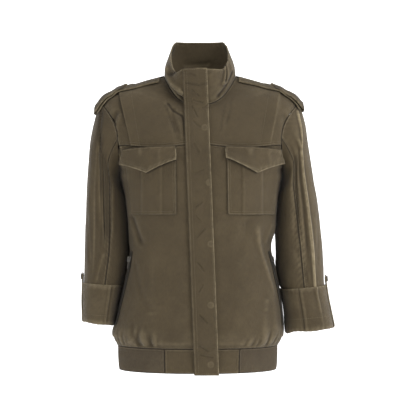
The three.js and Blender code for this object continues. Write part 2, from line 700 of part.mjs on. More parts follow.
function frontDepth(x, z) {
  const onTorso = (at) => body(...onBody(x, at)).y;
  const onCollar = (at) => {
    const place = locate(collar, x, at, Math.asin(x / 90), 0.5, 0.01, 0.01);
    return collar(...place).y;
  };
  if (z < collarBase - 6) return onTorso(z);
  if (z > collarBase + 6) return onCollar(Math.min(z, COLLAR_FRONT_TOP - 1));
  return mix(onTorso(collarBase - 6), onCollar(collarBase + 6), (z - collarBase + 6) / 12);
}

function flyDepth(x, z) {
  const reaches = [-16, -8, 0, 8, 16];
  const depths = reaches.map((reach) => frontDepth(x, Math.max(HEM_EDGE, z + reach)));
  const eased = depths.reduce((sum, y) => sum + y, 0) / reaches.length;
  return Math.min(eased, depths[2]);
}
const FLY_BOTTOM = HEM_EDGE - 3;
const FLY_TOP = COLLAR_FRONT_TOP + 1.5;
const flyRows = [
  FLY_BOTTOM,
  ...HEM_LEVELS.slice(1),
  -586,
  ...UNDERARM_ROWS,
  ...spread(-215, -120, 4),
  ...spread(-100, FLY_TOP, 9),
];
const flyColumns = [-1, -0.33, 0.33, 1];
const flyGrid = (lift) =>
  flyRows.map((z) =>
    flyColumns.map((s) => {
      const x = flyMiddle(z) + s * FLY_HALF_WIDTH;
      const free = 1.2 * smooth(0.3, 1, s);
      return new THREE.Vector3(x, flyDepth(x, z) - lift - free, z);
    }),
  );

// The fly covers press studs, which show as low discs in its face.
const STUDS = [
  { x: 13, z: -113 },
  { x: 22, z: -233 },
  { x: 26, z: -366 },
  { x: 26, z: -498 },
  { x: 26, z: -627 },
];
const STUD_RADIUS = 6.7;
const STUD_RISE = 0.7;
const FLY_BACK = LAY_GAP + 0.5;
const FLY_FACE = FLY_BACK + DOUBLE_CLOTH;

let fly = solidOf(wall(flyGrid(FLY_FACE), flyGrid(FLY_BACK)));
for (const { x, z } of STUDS) {
  const disc = new THREE.CylinderGeometry(STUD_RADIUS, STUD_RADIUS - 0.6, STUD_RISE + 1.2, 14);
  const free = 1.2 * smooth(0.3, 1, (x - flyMiddle(z)) / FLY_HALF_WIDTH);
  disc.translate(x, flyDepth(x, z) - FLY_FACE - free - STUD_RISE / 2 + 0.6, z);
  fly = fly.add(solidOf(disc));
}
add("fly", geometryOf(fly));

// Sleeves: rings that swing from the armhole's plane to level, then down to the cuff
function plainSleeve(which, round, along) {
  const { side, rows } = SLEEVES[which];
  const read = (column) => readTable(rows, "along", column, along);
  const cosine = signedPower(Math.cos(round), 2 / 2.3);
  const sine = signedPower(Math.sin(round), 2 / 2.3);
  const outer = new THREE.Vector3(side * read("outX"), 0, read("outZ"));
  const inner = new THREE.Vector3(side * read("inX"), 0, read("inZ"));
  const middle = outer.clone().add(inner).divideScalar(2);
  const ring = middle.clone().addScaledVector(outer.sub(inner), cosine / 2);
  ring.y = read("midY") - sine * (sine > 0 ? read("front") : read("back"));
  const [turn, level] = armholeEdge(side, round);
  const under = smooth(0.2, -0.3, Math.cos(round));
  const edge = body(turn, level).addScaledVector(bodyNormal(turn, level), 0.5 * under);
  return edge.lerp(ring, smooth(0, 75, along) ** 0.7);
}

function sleeve(which, round, along) {
  const depth = foldDepth(SLEEVE_FOLDS[which], (round * 180) / Math.PI, along, false);
  const point = plainSleeve(which, round, along);
  if (Math.abs(depth) < 1e-3) return point;
  return point.addScaledVector(sleeveOut(plainSleeve, which, round, along), depth);
}

function sleeveOut(surface, which, round, along) {
  const at = Math.max(along, 2);
  const out = normalOf((u, v) => surface(which, u, v), round, at, 0.02, 1.5);
  return SLEEVES[which].side > 0 ? out : out.negate();
}

// At the armhole the sleeve's cut edge lies against the body's.
function sleeveNormal(which, round, along) {
  const own = sleeveOut(sleeve, which, round, along);
  const [turn, level] = armholeEdge(SLEEVES[which].side, round);
  const bodys = bodyNormal(turn, level);
  const share = smooth(0, 0.6, own.dot(bodys)) * smooth(26, 0, along);
  return own.lerp(bodys, share).normalize();
}

const SLEEVE_ROWS = [1.7, 10, 22, 36, 52, 75, 105, 140, 180, 220, 260, 300, 340, 380, 420, 455, 485];
const SEAM_STEPS = { front: 7, back: 17 };

for (const which of ["right", "left"]) {
  const { end, seamSwing } = SLEEVES[which];
  const rows = [...SLEEVE_ROWS.filter((along) => along < end - 15), end];
  const outerWall = (round, along) => sleeve(which, round, along);
  const out = (round, along) => sleeveNormal(which, round, along);
  const panel = (from, to) => {
    const steps = Array.from({ length: to - from + 1 }, (_, i) => from + i);
    return rows.map((along) =>
      steps.map((step, i) => {
        const inset = i === 0 ? 0.15 / 60 : i === steps.length - 1 ? -0.15 / 60 : 0;
        const swing = seamSwing * smooth(60, 420, along) * smooth(-1, SEAM_STEPS.front, step)
          * smooth(SEAM_STEPS.back, SEAM_STEPS.front, step);
        return [rad(step * stepDegrees - swing) + inset, along];
      }),
    );
  };
  const top = panel(SEAM_STEPS.back - ARMHOLE_POINTS, SEAM_STEPS.front);
  const under = panel(SEAM_STEPS.front, SEAM_STEPS.back);
  add(`sleeve_top_${which}`, clothOn(outerWall, out, top, -CLOTH, 0));
  add(`sleeve_under_${which}`, clothOn(outerWall, out, under, -CLOTH, 0));
}

// Turned-back cuffs: cloth folded out and up over the sleeve's end.
// Each profile point is a height above the sleeve's face and a distance past the sleeve's end.
const CUFF_PROFILE = [
  { off: 0.95, past: -CUFF_DEPTH },
  { off: 3.4, past: -CUFF_DEPTH },
  { off: 3.9, past: -CUFF_DEPTH * 0.6 },
  { off: 3.8, past: -CUFF_DEPTH * 0.25 },
  { off: 3.4, past: 0.5 },
  { off: 1.4, past: 3.2 },
  { off: -1.4, past: 3.2 },
  { off: -2.4, past: 1.6 },
  { off: -2.2, past: 0.4 },
  { off: 0.85, past: 0.4 },
  { off: 0.85, past: -CUFF_DEPTH * 0.5 },
];

function offSleeve(which, round, along, height) {
  return sleeve(which, round, along).addScaledVector(sleeveNormal(which, round, along), height);
}

for (const which of ["right", "left"]) {
  const { end } = SLEEVES[which];
  const stations = Array.from({ length: ARMHOLE_POINTS }, (_, i) => rad(i * stepDegrees));
  const place = (round, k) => {
    const { off, past } = CUFF_PROFILE[k];
    return offSleeve(which, round, end + past, off);
  };
  add(`cuff_${which}`, carried(CUFF_PROFILE.length, stations, place, true));
}

// Roll tabs: a strap that comes out from under the cuff, up its outside, and buttons above it
const TAB_HALF_WIDTH = 11;
const TAB_THICK = 2;
const TAB_PATH = [
  { off: 5.2, past: -CUFF_DEPTH - 24, half: 0.25 },
  { off: 5.4, past: -CUFF_DEPTH - 14, half: 1 },
  { off: 5.8, past: -CUFF_DEPTH, half: 1 },
  { off: 6.2, past: -CUFF_DEPTH * 0.7, half: 1 },
  { off: 6.2, past: -CUFF_DEPTH * 0.4, half: 1 },
  { off: 5.9, past: -CUFF_DEPTH * 0.12, half: 1 },
  { off: 5.8, past: 2.8, half: 1 },
  { off: 3.4, past: 5.6, half: 1 },
  { off: -1.4, past: 6, half: 1 },
  { off: -4.8, past: 3.6, half: 1 },
  { off: -5, past: -6, half: 1 },
];

for (const which of ["right", "left"]) {
  const { end, side } = SLEEVES[which];
  const path = TAB_PATH.map(({ off, past }) => offSleeve(which, 0, end + past, off));
  const across = [-1, 0, 1];
  const layer = (thick) =>
    path.map((point, i) => {
      const before = path[Math.max(i - 1, 0)];
      const after = path[Math.min(i + 1, path.length - 1)];
      const run = after.clone().sub(before).normalize();
      const out = new THREE.Vector3(-run.z * side, 0, run.x * side).multiplyScalar(side);
      const facing = out.x * side >= 0 || i > 5 ? out : out.negate();
      return across.map((s) => {
        const y = s * TAB_HALF_WIDTH * TAB_PATH[i].half;
        const bend = -0.9 * s * s * (i < 7 ? 1 : 0);
        return point
          .clone()
          .addScaledVector(facing, thick + bend)
          .add(new THREE.Vector3(0, y, 0));
      });
    });
  add(`roll_tab_${which}`, wall(layer(TAB_THICK / 2), layer(-TAB_THICK / 2)));

  const run = path[0].clone().sub(path[2]).normalize();
  const out = new THREE.Vector3(run.z * side, 0, -run.x * side);
  const seat = path[1].clone().addScaledVector(out, TAB_THICK / 2 + 0.1);
  addButton(`tab_button_${which}`, seat, out);
}

// Shoulder straps: laid along the shoulder, folded back at its end and buttoned
const STRAP_MIDDLE = -11;
const STRAP_NECK = 89;
const STRAP_SHOULDER = 224;
const STRAP_LIFT = 0.5;
const FOLD_RADIUS = 3.2;
const RETURN_POINTS = 7;

// The height of the cloth under a point of a strap.
function strapSeat(carriers, x, y) {
  const caster = new THREE.Raycaster();
  const down = new THREE.Vector3(0, 0, -1);
  const heights = [-5, 0, 5].map((dx) => {
    caster.set(new THREE.Vector3(x + dx, y, 300), down);
    const [hit] = caster.intersectObjects(carriers, false);
    return hit ? hit.point.z + dx * Math.sign(x) * 0.35 : -Infinity;
  });
  return Math.max(...heights);
}

function strapPath(carriers, side, y) {
  const shoulder = spread(STRAP_NECK, STRAP_SHOULDER, 13).map((x) => {
    const z = Math.max(...[-4, 0, 4].map((dy) => strapSeat(carriers, side * x, y + dy)));
    return new THREE.Vector2(x, z + STRAP_LIFT + STRAP_THICK / 2);
  });
  const last = shoulder.at(-1);
  const run = last.clone().sub(shoulder.at(-2)).normalize();
  const up = new THREE.Vector2(-run.y, run.x);
  const end = last.clone().addScaledVector(run, 6);
  const centre = end.clone().addScaledVector(up, FOLD_RADIUS);
  const turned = spread(0, Math.PI, 5)
    .slice(1)
    .map((a) =>
      centre
        .clone()
        .addScaledVector(run, FOLD_RADIUS * Math.sin(a))
        .addScaledVector(up, -FOLD_RADIUS * Math.cos(a)),
    );
  const back = spread(0, RETURN_POINTS - 1, RETURN_POINTS - 1).map((step) => {
    const i = shoulder.length - 1 - step;
    const along = shoulder[i].clone().sub(shoulder[i - 1]).normalize();
    const rise = mix(2 * FOLD_RADIUS, 3.4, smooth(0, RETURN_POINTS - 2, step));
    return shoulder[i].clone().add(new THREE.Vector2(-along.y, along.x).multiplyScalar(rise));
  });
  return [...shoulder, end, ...turned, ...back];
}

function addButton(name, seat, out) {
  const profile = [
    [0, 0.3],
    [6, 0.3],
    [BUTTON_RADIUS, 1],
    [BUTTON_RADIUS, 2],
    [6, 2.8],
    [5, 2.2],
    [0, 2],
  ].map(([radius, height]) => new THREE.Vector2(radius, height));
  const button = add(name, new THREE.LatheGeometry(profile, 16), "darkMetal");
  button.position.copy(seat);
  button.quaternion.setFromUnitVectors(new THREE.Vector3(0, 1, 0), out);
}

for (const which of ["right", "left"]) {
  const { side } = SLEEVES[which];
  const names = [`yoke_${which}`, "back", `sleeve_top_${which}`, `front_${which}`];
  const carriers = names.map((name) => jacket.getObjectByName(name));
  const across = [-1, -0.5, 0, 0.5, 1];
  const paths = across.map((s) => strapPath(carriers, side, STRAP_MIDDLE + s * STRAP_HALF_WIDTH));
  const count = paths[0].length;
  const layer = (thick) =>
    Array.from({ length: count }, (_, i) =>
      across.map((s, j) => {
        const path = paths[j];
        const before = path[Math.max(i - 1, 0)];
        const after = path[Math.min(i + 1, count - 1)];
        const run = after.clone().sub(before).normalize();
        const q = path[i].clone().addScaledVector(new THREE.Vector2(-run.y, run.x), thick);
        const narrow = i === count - 1 ? 0.4 : 1;
        return new THREE.Vector3(side * q.x, STRAP_MIDDLE + s * STRAP_HALF_WIDTH * narrow, q.y);
      }),
    );
  add(`shoulder_strap_${which}`, wall(layer(STRAP_THICK / 2), layer(-STRAP_THICK / 2)));

  const spot = (i, j) => {
    const y = STRAP_MIDDLE + across[j] * STRAP_HALF_WIDTH;
    return new THREE.Vector3(side * paths[j][i].x, y, paths[j][i].y);
  };
  const inward = spot(count - 1, 2).sub(spot(count - 3, 2));
  const backward = spot(count - 2, 3).sub(spot(count - 2, 1));
  const out = inward.cross(backward).normalize();
  if (out.z < 0) out.negate();
  const seat = spot(count - 2, 2).addScaledVector(out, STRAP_THICK / 2 + 0.3);
  addButton(`strap_button_${which}`, seat, out);
}

// Side pocket zips: tape and closed chain, slider at the top end, and a pull on the slider's bar
const ZIPS = {
  right: { turnTop: -70, turnBottom: -76 },
  left: { turnTop: 70, turnBottom: 76 },
};
const ZIP_TOP = -384;
const ZIP_BOTTOM = -548;
const SLIDER_LEVEL = -402;
const MM_PER_TURN = 150;

const box = (width, length, height, x, y, z) =>
  new THREE.BoxGeometry(width, length, height).translate(x, y, z);

for (const side of ["right", "left"]) {
  const zip = ZIPS[side];
  const turnAt = (level) =>
    rad(mix(zip.turnTop, zip.turnBottom, (ZIP_TOP - level) / (ZIP_TOP - ZIP_BOTTOM)));
  const columns = [
    { at: -ZIP_HALF_WIDTH, rise: 0 },
    { at: -CHAIN_HALF_WIDTH - 0.3, rise: 0 },
    { at: -CHAIN_HALF_WIDTH, rise: CHAIN_RISE },
    { at: CHAIN_HALF_WIDTH, rise: CHAIN_RISE },
    { at: CHAIN_HALF_WIDTH + 0.3, rise: 0 },
    { at: ZIP_HALF_WIDTH, rise: 0 },
  ];
  const levels = spread(ZIP_BOTTOM, ZIP_TOP, 10);
  const layer = (height) =>
    levels.map((level) =>
      columns.map(({ at, rise }) => {
        const turn = turnAt(level) + at / MM_PER_TURN;
        const lift = LAY_GAP + 0.2 + (height === 0 ? 0 : height + rise);
        return body(turn, level).addScaledVector(bodyNormal(turn, level), lift);
      }),
    );
  add(`zip_${side}`, wall(layer(1), layer(0)), "zipTape");

  // Slider and pull are drawn with x across the zip, y up along it and z away from the body.
  const turn = turnAt(SLIDER_LEVEL);
  const away = bodyNormal(turn, SLIDER_LEVEL);
  const up = body(turnAt(SLIDER_LEVEL + 10), SLIDER_LEVEL + 10)
    .sub(body(turnAt(SLIDER_LEVEL - 10), SLIDER_LEVEL - 10))
    .normalize();
  const across = up.clone().cross(away).normalize();
  const square = away.clone().cross(across).normalize();
  const base = LAY_GAP + 1.2 + CHAIN_RISE + 0.4;
  const seat = body(turn, SLIDER_LEVEL).addScaledVector(away, base);
  const placed = new THREE.Matrix4().makeBasis(across, square, away).setPosition(seat);

  let slider = solidOf(box(9, 12, 1.6, 0, 0, 0.8));
  for (const end of [-1, 1]) slider = slider.add(solidOf(box(2.4, 2.4, 4.4, 0, end * 4.4, 2.2)));
  slider = slider.add(solidOf(box(2.4, 11.2, 1.4, 0, 0, 5)));
  add(`slider_${side}`, geometryOf(slider).applyMatrix4(placed), "darkMetal");

  // The pull's cross bar turns under the slider's bridge, and its arms pass either side of it.
  let pull = solidOf(box(2 * PULL_HALF_WIDTH, BAR_THICK, BAR_THICK, 0, 0, BAR_HEIGHT));
  for (const arm of [-1, 1]) {
    const x = arm * (PULL_HALF_WIDTH - BAR_THICK / 2);
    pull = pull.add(solidOf(box(BAR_THICK, 8.4, BAR_THICK, x, -3.9, BAR_HEIGHT)));
  }
  const plate = PULL_LENGTH - 7.2;
  pull = pull.add(
    solidOf(box(2 * PULL_HALF_WIDTH, plate, BAR_THICK, 0, -7.2 - plate / 2, BAR_HEIGHT)),
  );
  add(`pull_${side}`, geometryOf(pull).applyMatrix4(placed), "darkMetal");
}

export default jacket;
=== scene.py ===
import json

import bpy
import numpy as np
from mathutils.bvhtree import BVHTree
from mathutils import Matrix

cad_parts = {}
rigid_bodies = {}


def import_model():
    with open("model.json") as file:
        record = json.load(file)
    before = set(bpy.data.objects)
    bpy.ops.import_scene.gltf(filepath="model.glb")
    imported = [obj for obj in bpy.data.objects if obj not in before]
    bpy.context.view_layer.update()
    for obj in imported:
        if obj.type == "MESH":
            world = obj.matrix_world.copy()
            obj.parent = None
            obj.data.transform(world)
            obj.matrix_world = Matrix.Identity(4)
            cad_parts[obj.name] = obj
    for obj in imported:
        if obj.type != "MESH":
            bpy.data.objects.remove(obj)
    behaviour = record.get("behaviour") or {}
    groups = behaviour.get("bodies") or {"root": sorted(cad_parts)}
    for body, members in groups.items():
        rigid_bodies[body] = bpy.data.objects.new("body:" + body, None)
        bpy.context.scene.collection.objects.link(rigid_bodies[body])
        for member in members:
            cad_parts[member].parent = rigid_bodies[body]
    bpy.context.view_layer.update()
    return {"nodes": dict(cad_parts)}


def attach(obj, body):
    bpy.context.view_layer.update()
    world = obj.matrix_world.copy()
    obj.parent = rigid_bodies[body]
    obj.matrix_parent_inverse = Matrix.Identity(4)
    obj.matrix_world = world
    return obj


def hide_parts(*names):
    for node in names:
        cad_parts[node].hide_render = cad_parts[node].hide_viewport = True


for start_up in list(bpy.data.objects):
    bpy.data.objects.remove(start_up)
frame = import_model()

# Studio: a pale floor that curves up far behind, five soft lamps and a level camera in front.
# The camera stands 3.2 m away, and its frame is 936 mm wide at the middle of the body.
CAMERA_AWAY, FRAME_WIDE, SENSOR = 3.2, 0.936, 36
LAMP_AIM = np.array([0, 0, -0.3])


def add_object(name, data):
    """A new object in the scene, at the origin."""
    made = bpy.data.objects.new(name, data)
    bpy.context.collection.objects.link(made)
    return made


camera_data = bpy.data.cameras.new("camera")
camera_data.sensor_width = SENSOR
camera_data.lens = SENSOR * CAMERA_AWAY / FRAME_WIDE
camera = add_object("camera", camera_data)
camera.location = (0.020, -CAMERA_AWAY, -0.288)
camera.rotation_euler = (np.pi / 2, 0, 0)
bpy.context.scene.camera = camera
bpy.context.scene.view_settings.view_transform = "Standard"


def lamp(name, place, size, power):
    """A square soft lamp of a width and power, turned to face the jacket."""
    data = bpy.data.lights.new(name, "AREA")
    data.size, data.energy = size, power
    lit = add_object(name, data)
    lit.location = place
    away = np.array(place) - LAMP_AIM
    away /= np.linalg.norm(away)
    lit.rotation_euler = (np.arccos(away[2]), 0, np.arctan2(away[1], away[0]) + np.pi / 2)


lamp("lamp_front_right", (2.3, -1.7, 0.8), 1.3, 66)
lamp("lamp_front_left", (-2.5, -1.6, 0.5), 1.5, 34)
lamp("lamp_above", (0.2, -0.7, 2.1), 1.5, 34)
lamp("lamp_side_right", (2.3, 0.3, 0.1), 1.2, 30)
lamp("lamp_behind", (-1.6, 1.5, 0.9), 1.4, 20)

world = bpy.data.worlds.new("room")
world.use_nodes = True
world.node_tree.nodes["Background"].inputs["Color"].default_value = (1, 1, 1, 1)
world.node_tree.nodes["Background"].inputs["Strength"].default_value = 0.32
bpy.context.scene.world = world

# the floor's level and half width, where it bends up and how tightly, and the shares of its run
# that are flat and that end the bend
FLOOR_LEVEL, FLOOR_HALF, BEND_START, BEND_RADIUS = -1.15, 14, 3.8, 1.2
FLAT_SHARE, BENT_SHARE = 0.45, 0.75
run = np.linspace(0, 1, 60)
bend = np.clip((run - FLAT_SHARE) / (BENT_SHARE - FLAT_SHARE), 0, 1) * np.pi / 2
flat_y = -FLOOR_HALF + run / FLAT_SHARE * (FLOOR_HALF + BEND_START)
floor_y = np.where(run < FLAT_SHARE, flat_y, BEND_START + BEND_RADIUS * np.sin(bend))
floor_z = FLOOR_LEVEL + BEND_RADIUS * (1 - np.cos(bend))
floor_z = floor_z + np.clip(run - BENT_SHARE, 0, 1) * FLOOR_HALF
floor_points = [(x, y, z) for y, z in zip(floor_y, floor_z) for x in (-FLOOR_HALF, FLOOR_HALF)]
floor_faces = [(2 * i, 2 * i + 1, 2 * i + 3, 2 * i + 2) for i in range(len(run) - 1)]
floor_mesh = bpy.data.meshes.new("floor")
floor_mesh.from_pydata(floor_points, [], floor_faces)
floor_mesh.polygons.foreach_set("use_smooth", [True] * len(floor_faces))
add_object("floor", floor_mesh)
paper = bpy.data.materials.new("paper")
paper.use_nodes = True
paper_inputs = paper.node_tree.nodes["Principled BSDF"].inputs
paper_inputs["Base Color"].default_value = (0.95, 0.95, 0.95, 1)
paper_inputs["Roughness"].default_value = 0.9
paper_inputs["Emission Color"].default_value = (1, 1, 1, 1)
paper_inputs["Emission Strength"].default_value = 0.7
floor_mesh.materials.append(paper)

# Fronts: the two lower front panels, in olive cotton twill 1.8 mm thick, from the centre front
# to the side seam and from the band to the yoke. They are sewn to the back, yokes and band.
CLOTH = 1.8
SEAM_GAP, FAR_FROM_EDGE = 0.3, 30.0
HEM_EDGE, BAND_TOP, CHEST_LEVEL, NECK_LEVEL = -648.0, -594.0, -215.0, 25.0
NECK_FRONT, COLLAR_FRONT_TOP = -62.0, 16.0
ARMHOLE_MIDDLE, ARMHOLE_HALF = -155.0, 60.0
ARMHOLE_FRONT, ARMHOLE_BACK = np.radians(34), np.radians(27)
YOKE_SEAM_CENTRE = -136.0
SIDES = {"right": -1, "left": 1}

# height, half width left and right, depth front and back, squareness
BODY = np.array([
    (-648, 174, 180, 118, 112, 2.3), (-620, 175, 181, 119, 113, 2.3),
    (-594, 177, 183, 121, 115, 2.3), (-582, 184, 190, 127, 121, 2.35),
    (-564, 187, 192, 130, 124, 2.4), (-542, 186, 184, 130, 123, 2.45),
    (-510, 184, 176, 128, 119, 2.5), (-470, 178, 167, 124, 112, 2.6),
    (-430, 170, 160, 120, 105, 2.6), (-370, 160, 154, 117, 99, 2.55),
    (-320, 166, 156, 121, 100, 2.5), (-270, 172, 161, 126, 104, 2.45),
    (-215, 180, 172, 122, 108, 2.4),
], float)

# angle at the top and bottom of a fold, top and bottom height, half width in degrees, depth
BODY_FOLDS = [
    (-29, -30, -556, -590, 1.6, -2.4), (-40, -42, -540, -590, 1.7, -3),
    (-58, -60, -552, -590, 2, -2.4), (38, 37, -564, -590, 1.6, -2),
    (48, 46, -540, -590, 3.4, 1.8), (54, 53, -545, -590, 1.7, -2.8),
    (66, 63, -556, -590, 2, -2.2), (20, 12, -300, -560, 8, -2.2), (47, 62, -300, -560, 7, 2.6),
    (-20, -16, -330, -580, 8, -1.6), (105, 104, -520, -590, 3, -4.5),
    (124, 122, -490, -590, 3.4, -5), (142, 141, -530, -590, 3, -4),
    (160, 161, -500, -590, 3.2, -5), (181, 180, -525, -590, 3, -4),
    (199, 200, -495, -590, 3.4, -5), (219, 219, -530, -590, 3, -4),
    (238, 240, -500, -590, 3.2, -5), (256, 257, -525, -590, 3, -4),
    (118, 132, -190, -430, 7, -4), (242, 228, -190, -430, 7, -4),
]

# finer creases between those folds, in the same columns
BODY_CREASES = [
    (-24, -25, -568, -590, 1.2, -1), (-32, -33, -552, -590, 1.2, -1.6),
    (-53, -55, -558, -590, 1.3, -1.4), (-66, -68, -545, -590, 1.6, -1.8),
    (31, 30, -568, -590, 1.3, -1.2), (43, 42, -560, -590, 1.3, -1.4),
    (73, 71, -540, -590, 1.8, -2), (45, 65, -318, -500, 3.8, 2.4), (70, 61, -318, -372, 4, 1.6),
    (37, 25, -306, -410, 5.5, -1.8), (50, 45, -480, -575, 4.5, 1.8),
    (-62, -38, -400, -500, 4, -1.1), (-36, -30, -380, -520, 5, 0.5),
    (-52, -41, -520, -590, 3, -2.4), (-40, -39, -545, -590, 1.4, -2.2),
    (-30, -30, -550, -590, 1.4, -2.2), (-70, -50, -300, -375, 5, -4.5),
    (-57, -62, -80, -210, 2.2, -3), (-54, -58, -90, -200, 2.4, 1.6),
    (57, 63, -90, -210, 2.6, -1.8), (-24, -8, 0, -120, 1.7, -2.6),
    (-16, -9, -60, -140, 1.6, -1.6), (20, 13, -40, -130, 2.4, -1),
    (113, 112, -545, -590, 1.6, -1.8), (133, 131, -550, -590, 1.6, -1.6),
    (151, 150, -540, -590, 1.8, -2), (170, 171, -548, -590, 1.6, -1.7),
    (190, 190, -540, -590, 1.8, -1.9), (209, 210, -550, -590, 1.6, -1.6),
    (229, 229, -542, -590, 1.8, -2), (247, 249, -552, -590, 1.6, -1.6),
    (150, 168, -330, -470, 4, -1.8), (205, 190, -350, -500, 4, -1.8),
    (130, 160, -230, -330, 4, -1.6), (232, 200, -240, -350, 4, -1.6),
]

# level, and how far the cloth hangs out at each side there
SIDE_SLACK = np.array([
    (-575, 3, 3), (-550, 4.3, 4), (-525, 3.9, 4), (-500, 3.1, 5), (-470, 3.2, 4.5),
    (-440, 3.5, 4), (-420, 3.5, 1), (-405, 2.5, 0.8), (-384, 0.8, 0.8), (-365, 2.5, 4),
    (-345, 7, 4.2), (-330, 7.5, 4.5), (-300, 5, 4.5), (-255, 4, 4.5), (-235, 5.5, 5.5),
    (-224, 3.5, 3.5), (-215, 0, 0),
], float)


def smooth(low, high, x):
    """0 below low, 1 above high, and an even cubic step between."""
    t = np.clip((x - low) / (high - low), 0, 1)
    return t * t * (3 - 2 * t)


def mix(a, b, t):
    return a + (b - a) * t


def bell(away, half):
    """1 where the distance is 0, falling off on both sides as a bell curve."""
    return np.exp(-((away / half) ** 2))


def unit(vectors):
    return vectors / np.linalg.norm(vectors, axis=-1, keepdims=True)


def wrapped(degrees):
    """The same angle, between -180 and 180."""
    return (degrees + 180) % 360 - 180


def run_length(line):
    """How far along a line of points each of them lies."""
    return np.concatenate([[0], np.cumsum(np.linalg.norm(np.diff(line, axis=0), axis=1))])


def read_column(rows, column, at):
    """One column of a table at any value of its first column: cubic pieces through the rows,
    with the slope at each row taken from its two neighbours."""
    key, value = rows[:, 0], rows[:, column]
    last = len(key) - 1
    near = np.arange(last + 1)
    before, after = np.maximum(near - 1, 0), np.minimum(near + 1, last)
    slope = (value[after] - value[before]) / (key[after] - key[before])
    x = np.clip(at, key[0], key[-1])
    i = np.clip(np.searchsorted(key, x) - 1, 0, last - 1)
    h = key[i + 1] - key[i]
    t = (x - key[i]) / h
    start = (1 + 2 * t) * (1 - t) ** 2 * value[i] + t * (1 - t) ** 2 * h * slope[i]
    end = t * t * (3 - 2 * t) * value[i + 1] + t * t * (t - 1) * h * slope[i + 1]
    return start + end


def ring(turn, left, right, front, back, square, z):
    """A rounded square round the body, from its half widths and its depths front and back."""
    across = np.sign(np.sin(turn)) * np.abs(np.sin(turn)) ** (2 / square)
    ahead = np.sign(np.cos(turn)) * np.abs(np.cos(turn)) ** (2 / square)
    x = across * np.where(across > 0, left, right)
    y = -ahead * np.where(ahead > 0, front, back)
    return np.stack(np.broadcast_arrays(x, y, z), -1).astype(float)


def neck(turn):
    """The neck seam: an oval that dips in front and rises to the shoulders."""
    low = np.where(np.cos(turn) > 0, NECK_FRONT, 14)
    z = mix(low, 6, np.abs(np.sin(turn)) ** 2.5)
    return ring(turn, 82, 78, 78, 62, 2.2, z)


def plain_body(turn, level):
    """The body without folds. Below the chest it is the table's ring. Above it, each line up the
    body is a weighted quadratic from that ring, pulled by a wide ring at the shoulders, to the
    neck seam."""
    turn, level = np.broadcast_arrays(np.asarray(turn, float), np.asarray(level, float))
    z = np.minimum(level, CHEST_LEVEL)
    low = ring(turn, *[read_column(BODY, c, z) for c in (1, 2, 3, 4, 5)], z)
    w = np.clip((level - CHEST_LEVEL) / (NECK_LEVEL - CHEST_LEVEL), 0, 1)[..., None]
    sine = np.abs(np.sin(turn))
    shoulder = mix(np.where(np.cos(turn) > 0, -100, -58), -38, sine ** 2.5)
    pull = ring(turn, 250, 248, 112, 100, 2.3, shoulder)
    a, b, c = (1 - w) ** 2, 2 * w * (1 - w) * (1 + 2 * sine[..., None] ** 3), w * w
    return (a * low + b * pull + c * neck(turn)) / (a + b + c)


def eased_body(turn, level):
    """The same body with the bend at chest height eased by averaging over it."""
    reach = 28 * np.clip(1 - np.abs(level - CHEST_LEVEL) / 60, 0, 1)
    below, above = plain_body(turn, level - reach), plain_body(turn, level + reach)
    return (2 * plain_body(turn, level) + below + above) / 4


def normal_of(surface, u, v, du, dv):
    """The unit normal of a surface, from the points a little to each side."""
    along_u = surface(u + du, v) - surface(u - du, v)
    along_v = surface(u, v + dv) - surface(u, v - dv)
    return unit(np.cross(along_u, along_v))


def fold_depth(folds, degrees, level, towards_end=False):
    """The sum of folds: each is a bell across its line, fading towards the ends of its length, or
    deepest near its end where that is asked for."""
    total = np.zeros(np.broadcast(degrees, level).shape)
    for turn_top, turn_bottom, top, bottom, half, depth in folds:
        t = (level - top) / (bottom - top)
        away = wrapped(degrees - mix(turn_top, turn_bottom, t))
        long_fade = smooth(-0.05, 0.8, t) * smooth(1.05, 0.95, t)
        fade = np.where(towards_end, long_fade, smooth(0, 0.15, t) * smooth(1, 0.75, t))
        total = total + depth * bell(away, half) * fade
    return total


def body(turn, level):
    """The body's outer face, with its folds and creases."""
    turn, level = np.broadcast_arrays(np.asarray(turn, float), np.asarray(level, float))
    degrees = np.degrees(turn)
    depth = fold_depth(BODY_FOLDS, degrees, level, level < -480)
    depth = depth + fold_depth(BODY_CREASES, degrees, level, level < -515)
    around = wrapped(degrees)
    slack = [np.interp(level, SIDE_SLACK[:, 0], SIDE_SLACK[:, c], 0, 0) for c in (1, 2)]
    depth = depth + np.where(around > 0, *slack) * bell(np.abs(around) - 82, 18)
    return eased_body(turn, level) + depth[..., None] * normal_of(eased_body, turn, level, 0.01, 2)


def body_out(turn, level):
    return normal_of(body, turn, level, 0.006, 1.2)


def grid_normal(points, closed=False, facing=1):
    """Unit normals of a grid of points, from its neighbours along both ways."""
    if closed:
        along = np.roll(points, -1, 1) - np.roll(points, 1, 1)
    else:
        along = np.gradient(points, axis=1)
    out = np.cross(along, np.gradient(points, axis=0)) * facing
    return out / np.maximum(np.linalg.norm(out, axis=-1, keepdims=True), 1e-9)


rng = np.random.default_rng(7)
RIPPLES = []
for _ in range(12):
    wave = rng.normal(size=3) * 2 * np.pi / rng.uniform(70, 200)
    RIPPLES.append((wave, rng.uniform(0, 6.3), rng.uniform(0.05, 0.18)))


def ripple(points):
    """Slight unevenness of worn cloth: a sum of twelve plane waves in space, in mm, so that
    pieces that lie on one another swell together."""
    return sum(amount * np.sin(points @ wave + phase) for wave, phase, amount in RIPPLES)


def distances(points, closed=False):
    """Lengths along the rows and up the columns of a grid, from its first corner, in mm."""
    if closed:
        points = np.concatenate([points, points[:, :1]], 1)
    step_u = np.linalg.norm(np.diff(points, axis=1), axis=-1)
    step_v = np.linalg.norm(np.diff(points, axis=0), axis=-1)
    u = np.pad(np.cumsum(step_u, 1), ((0, 0), (1, 0)))
    v = np.pad(np.cumsum(step_v, 0), ((1, 0), (0, 0)))
    return u, v


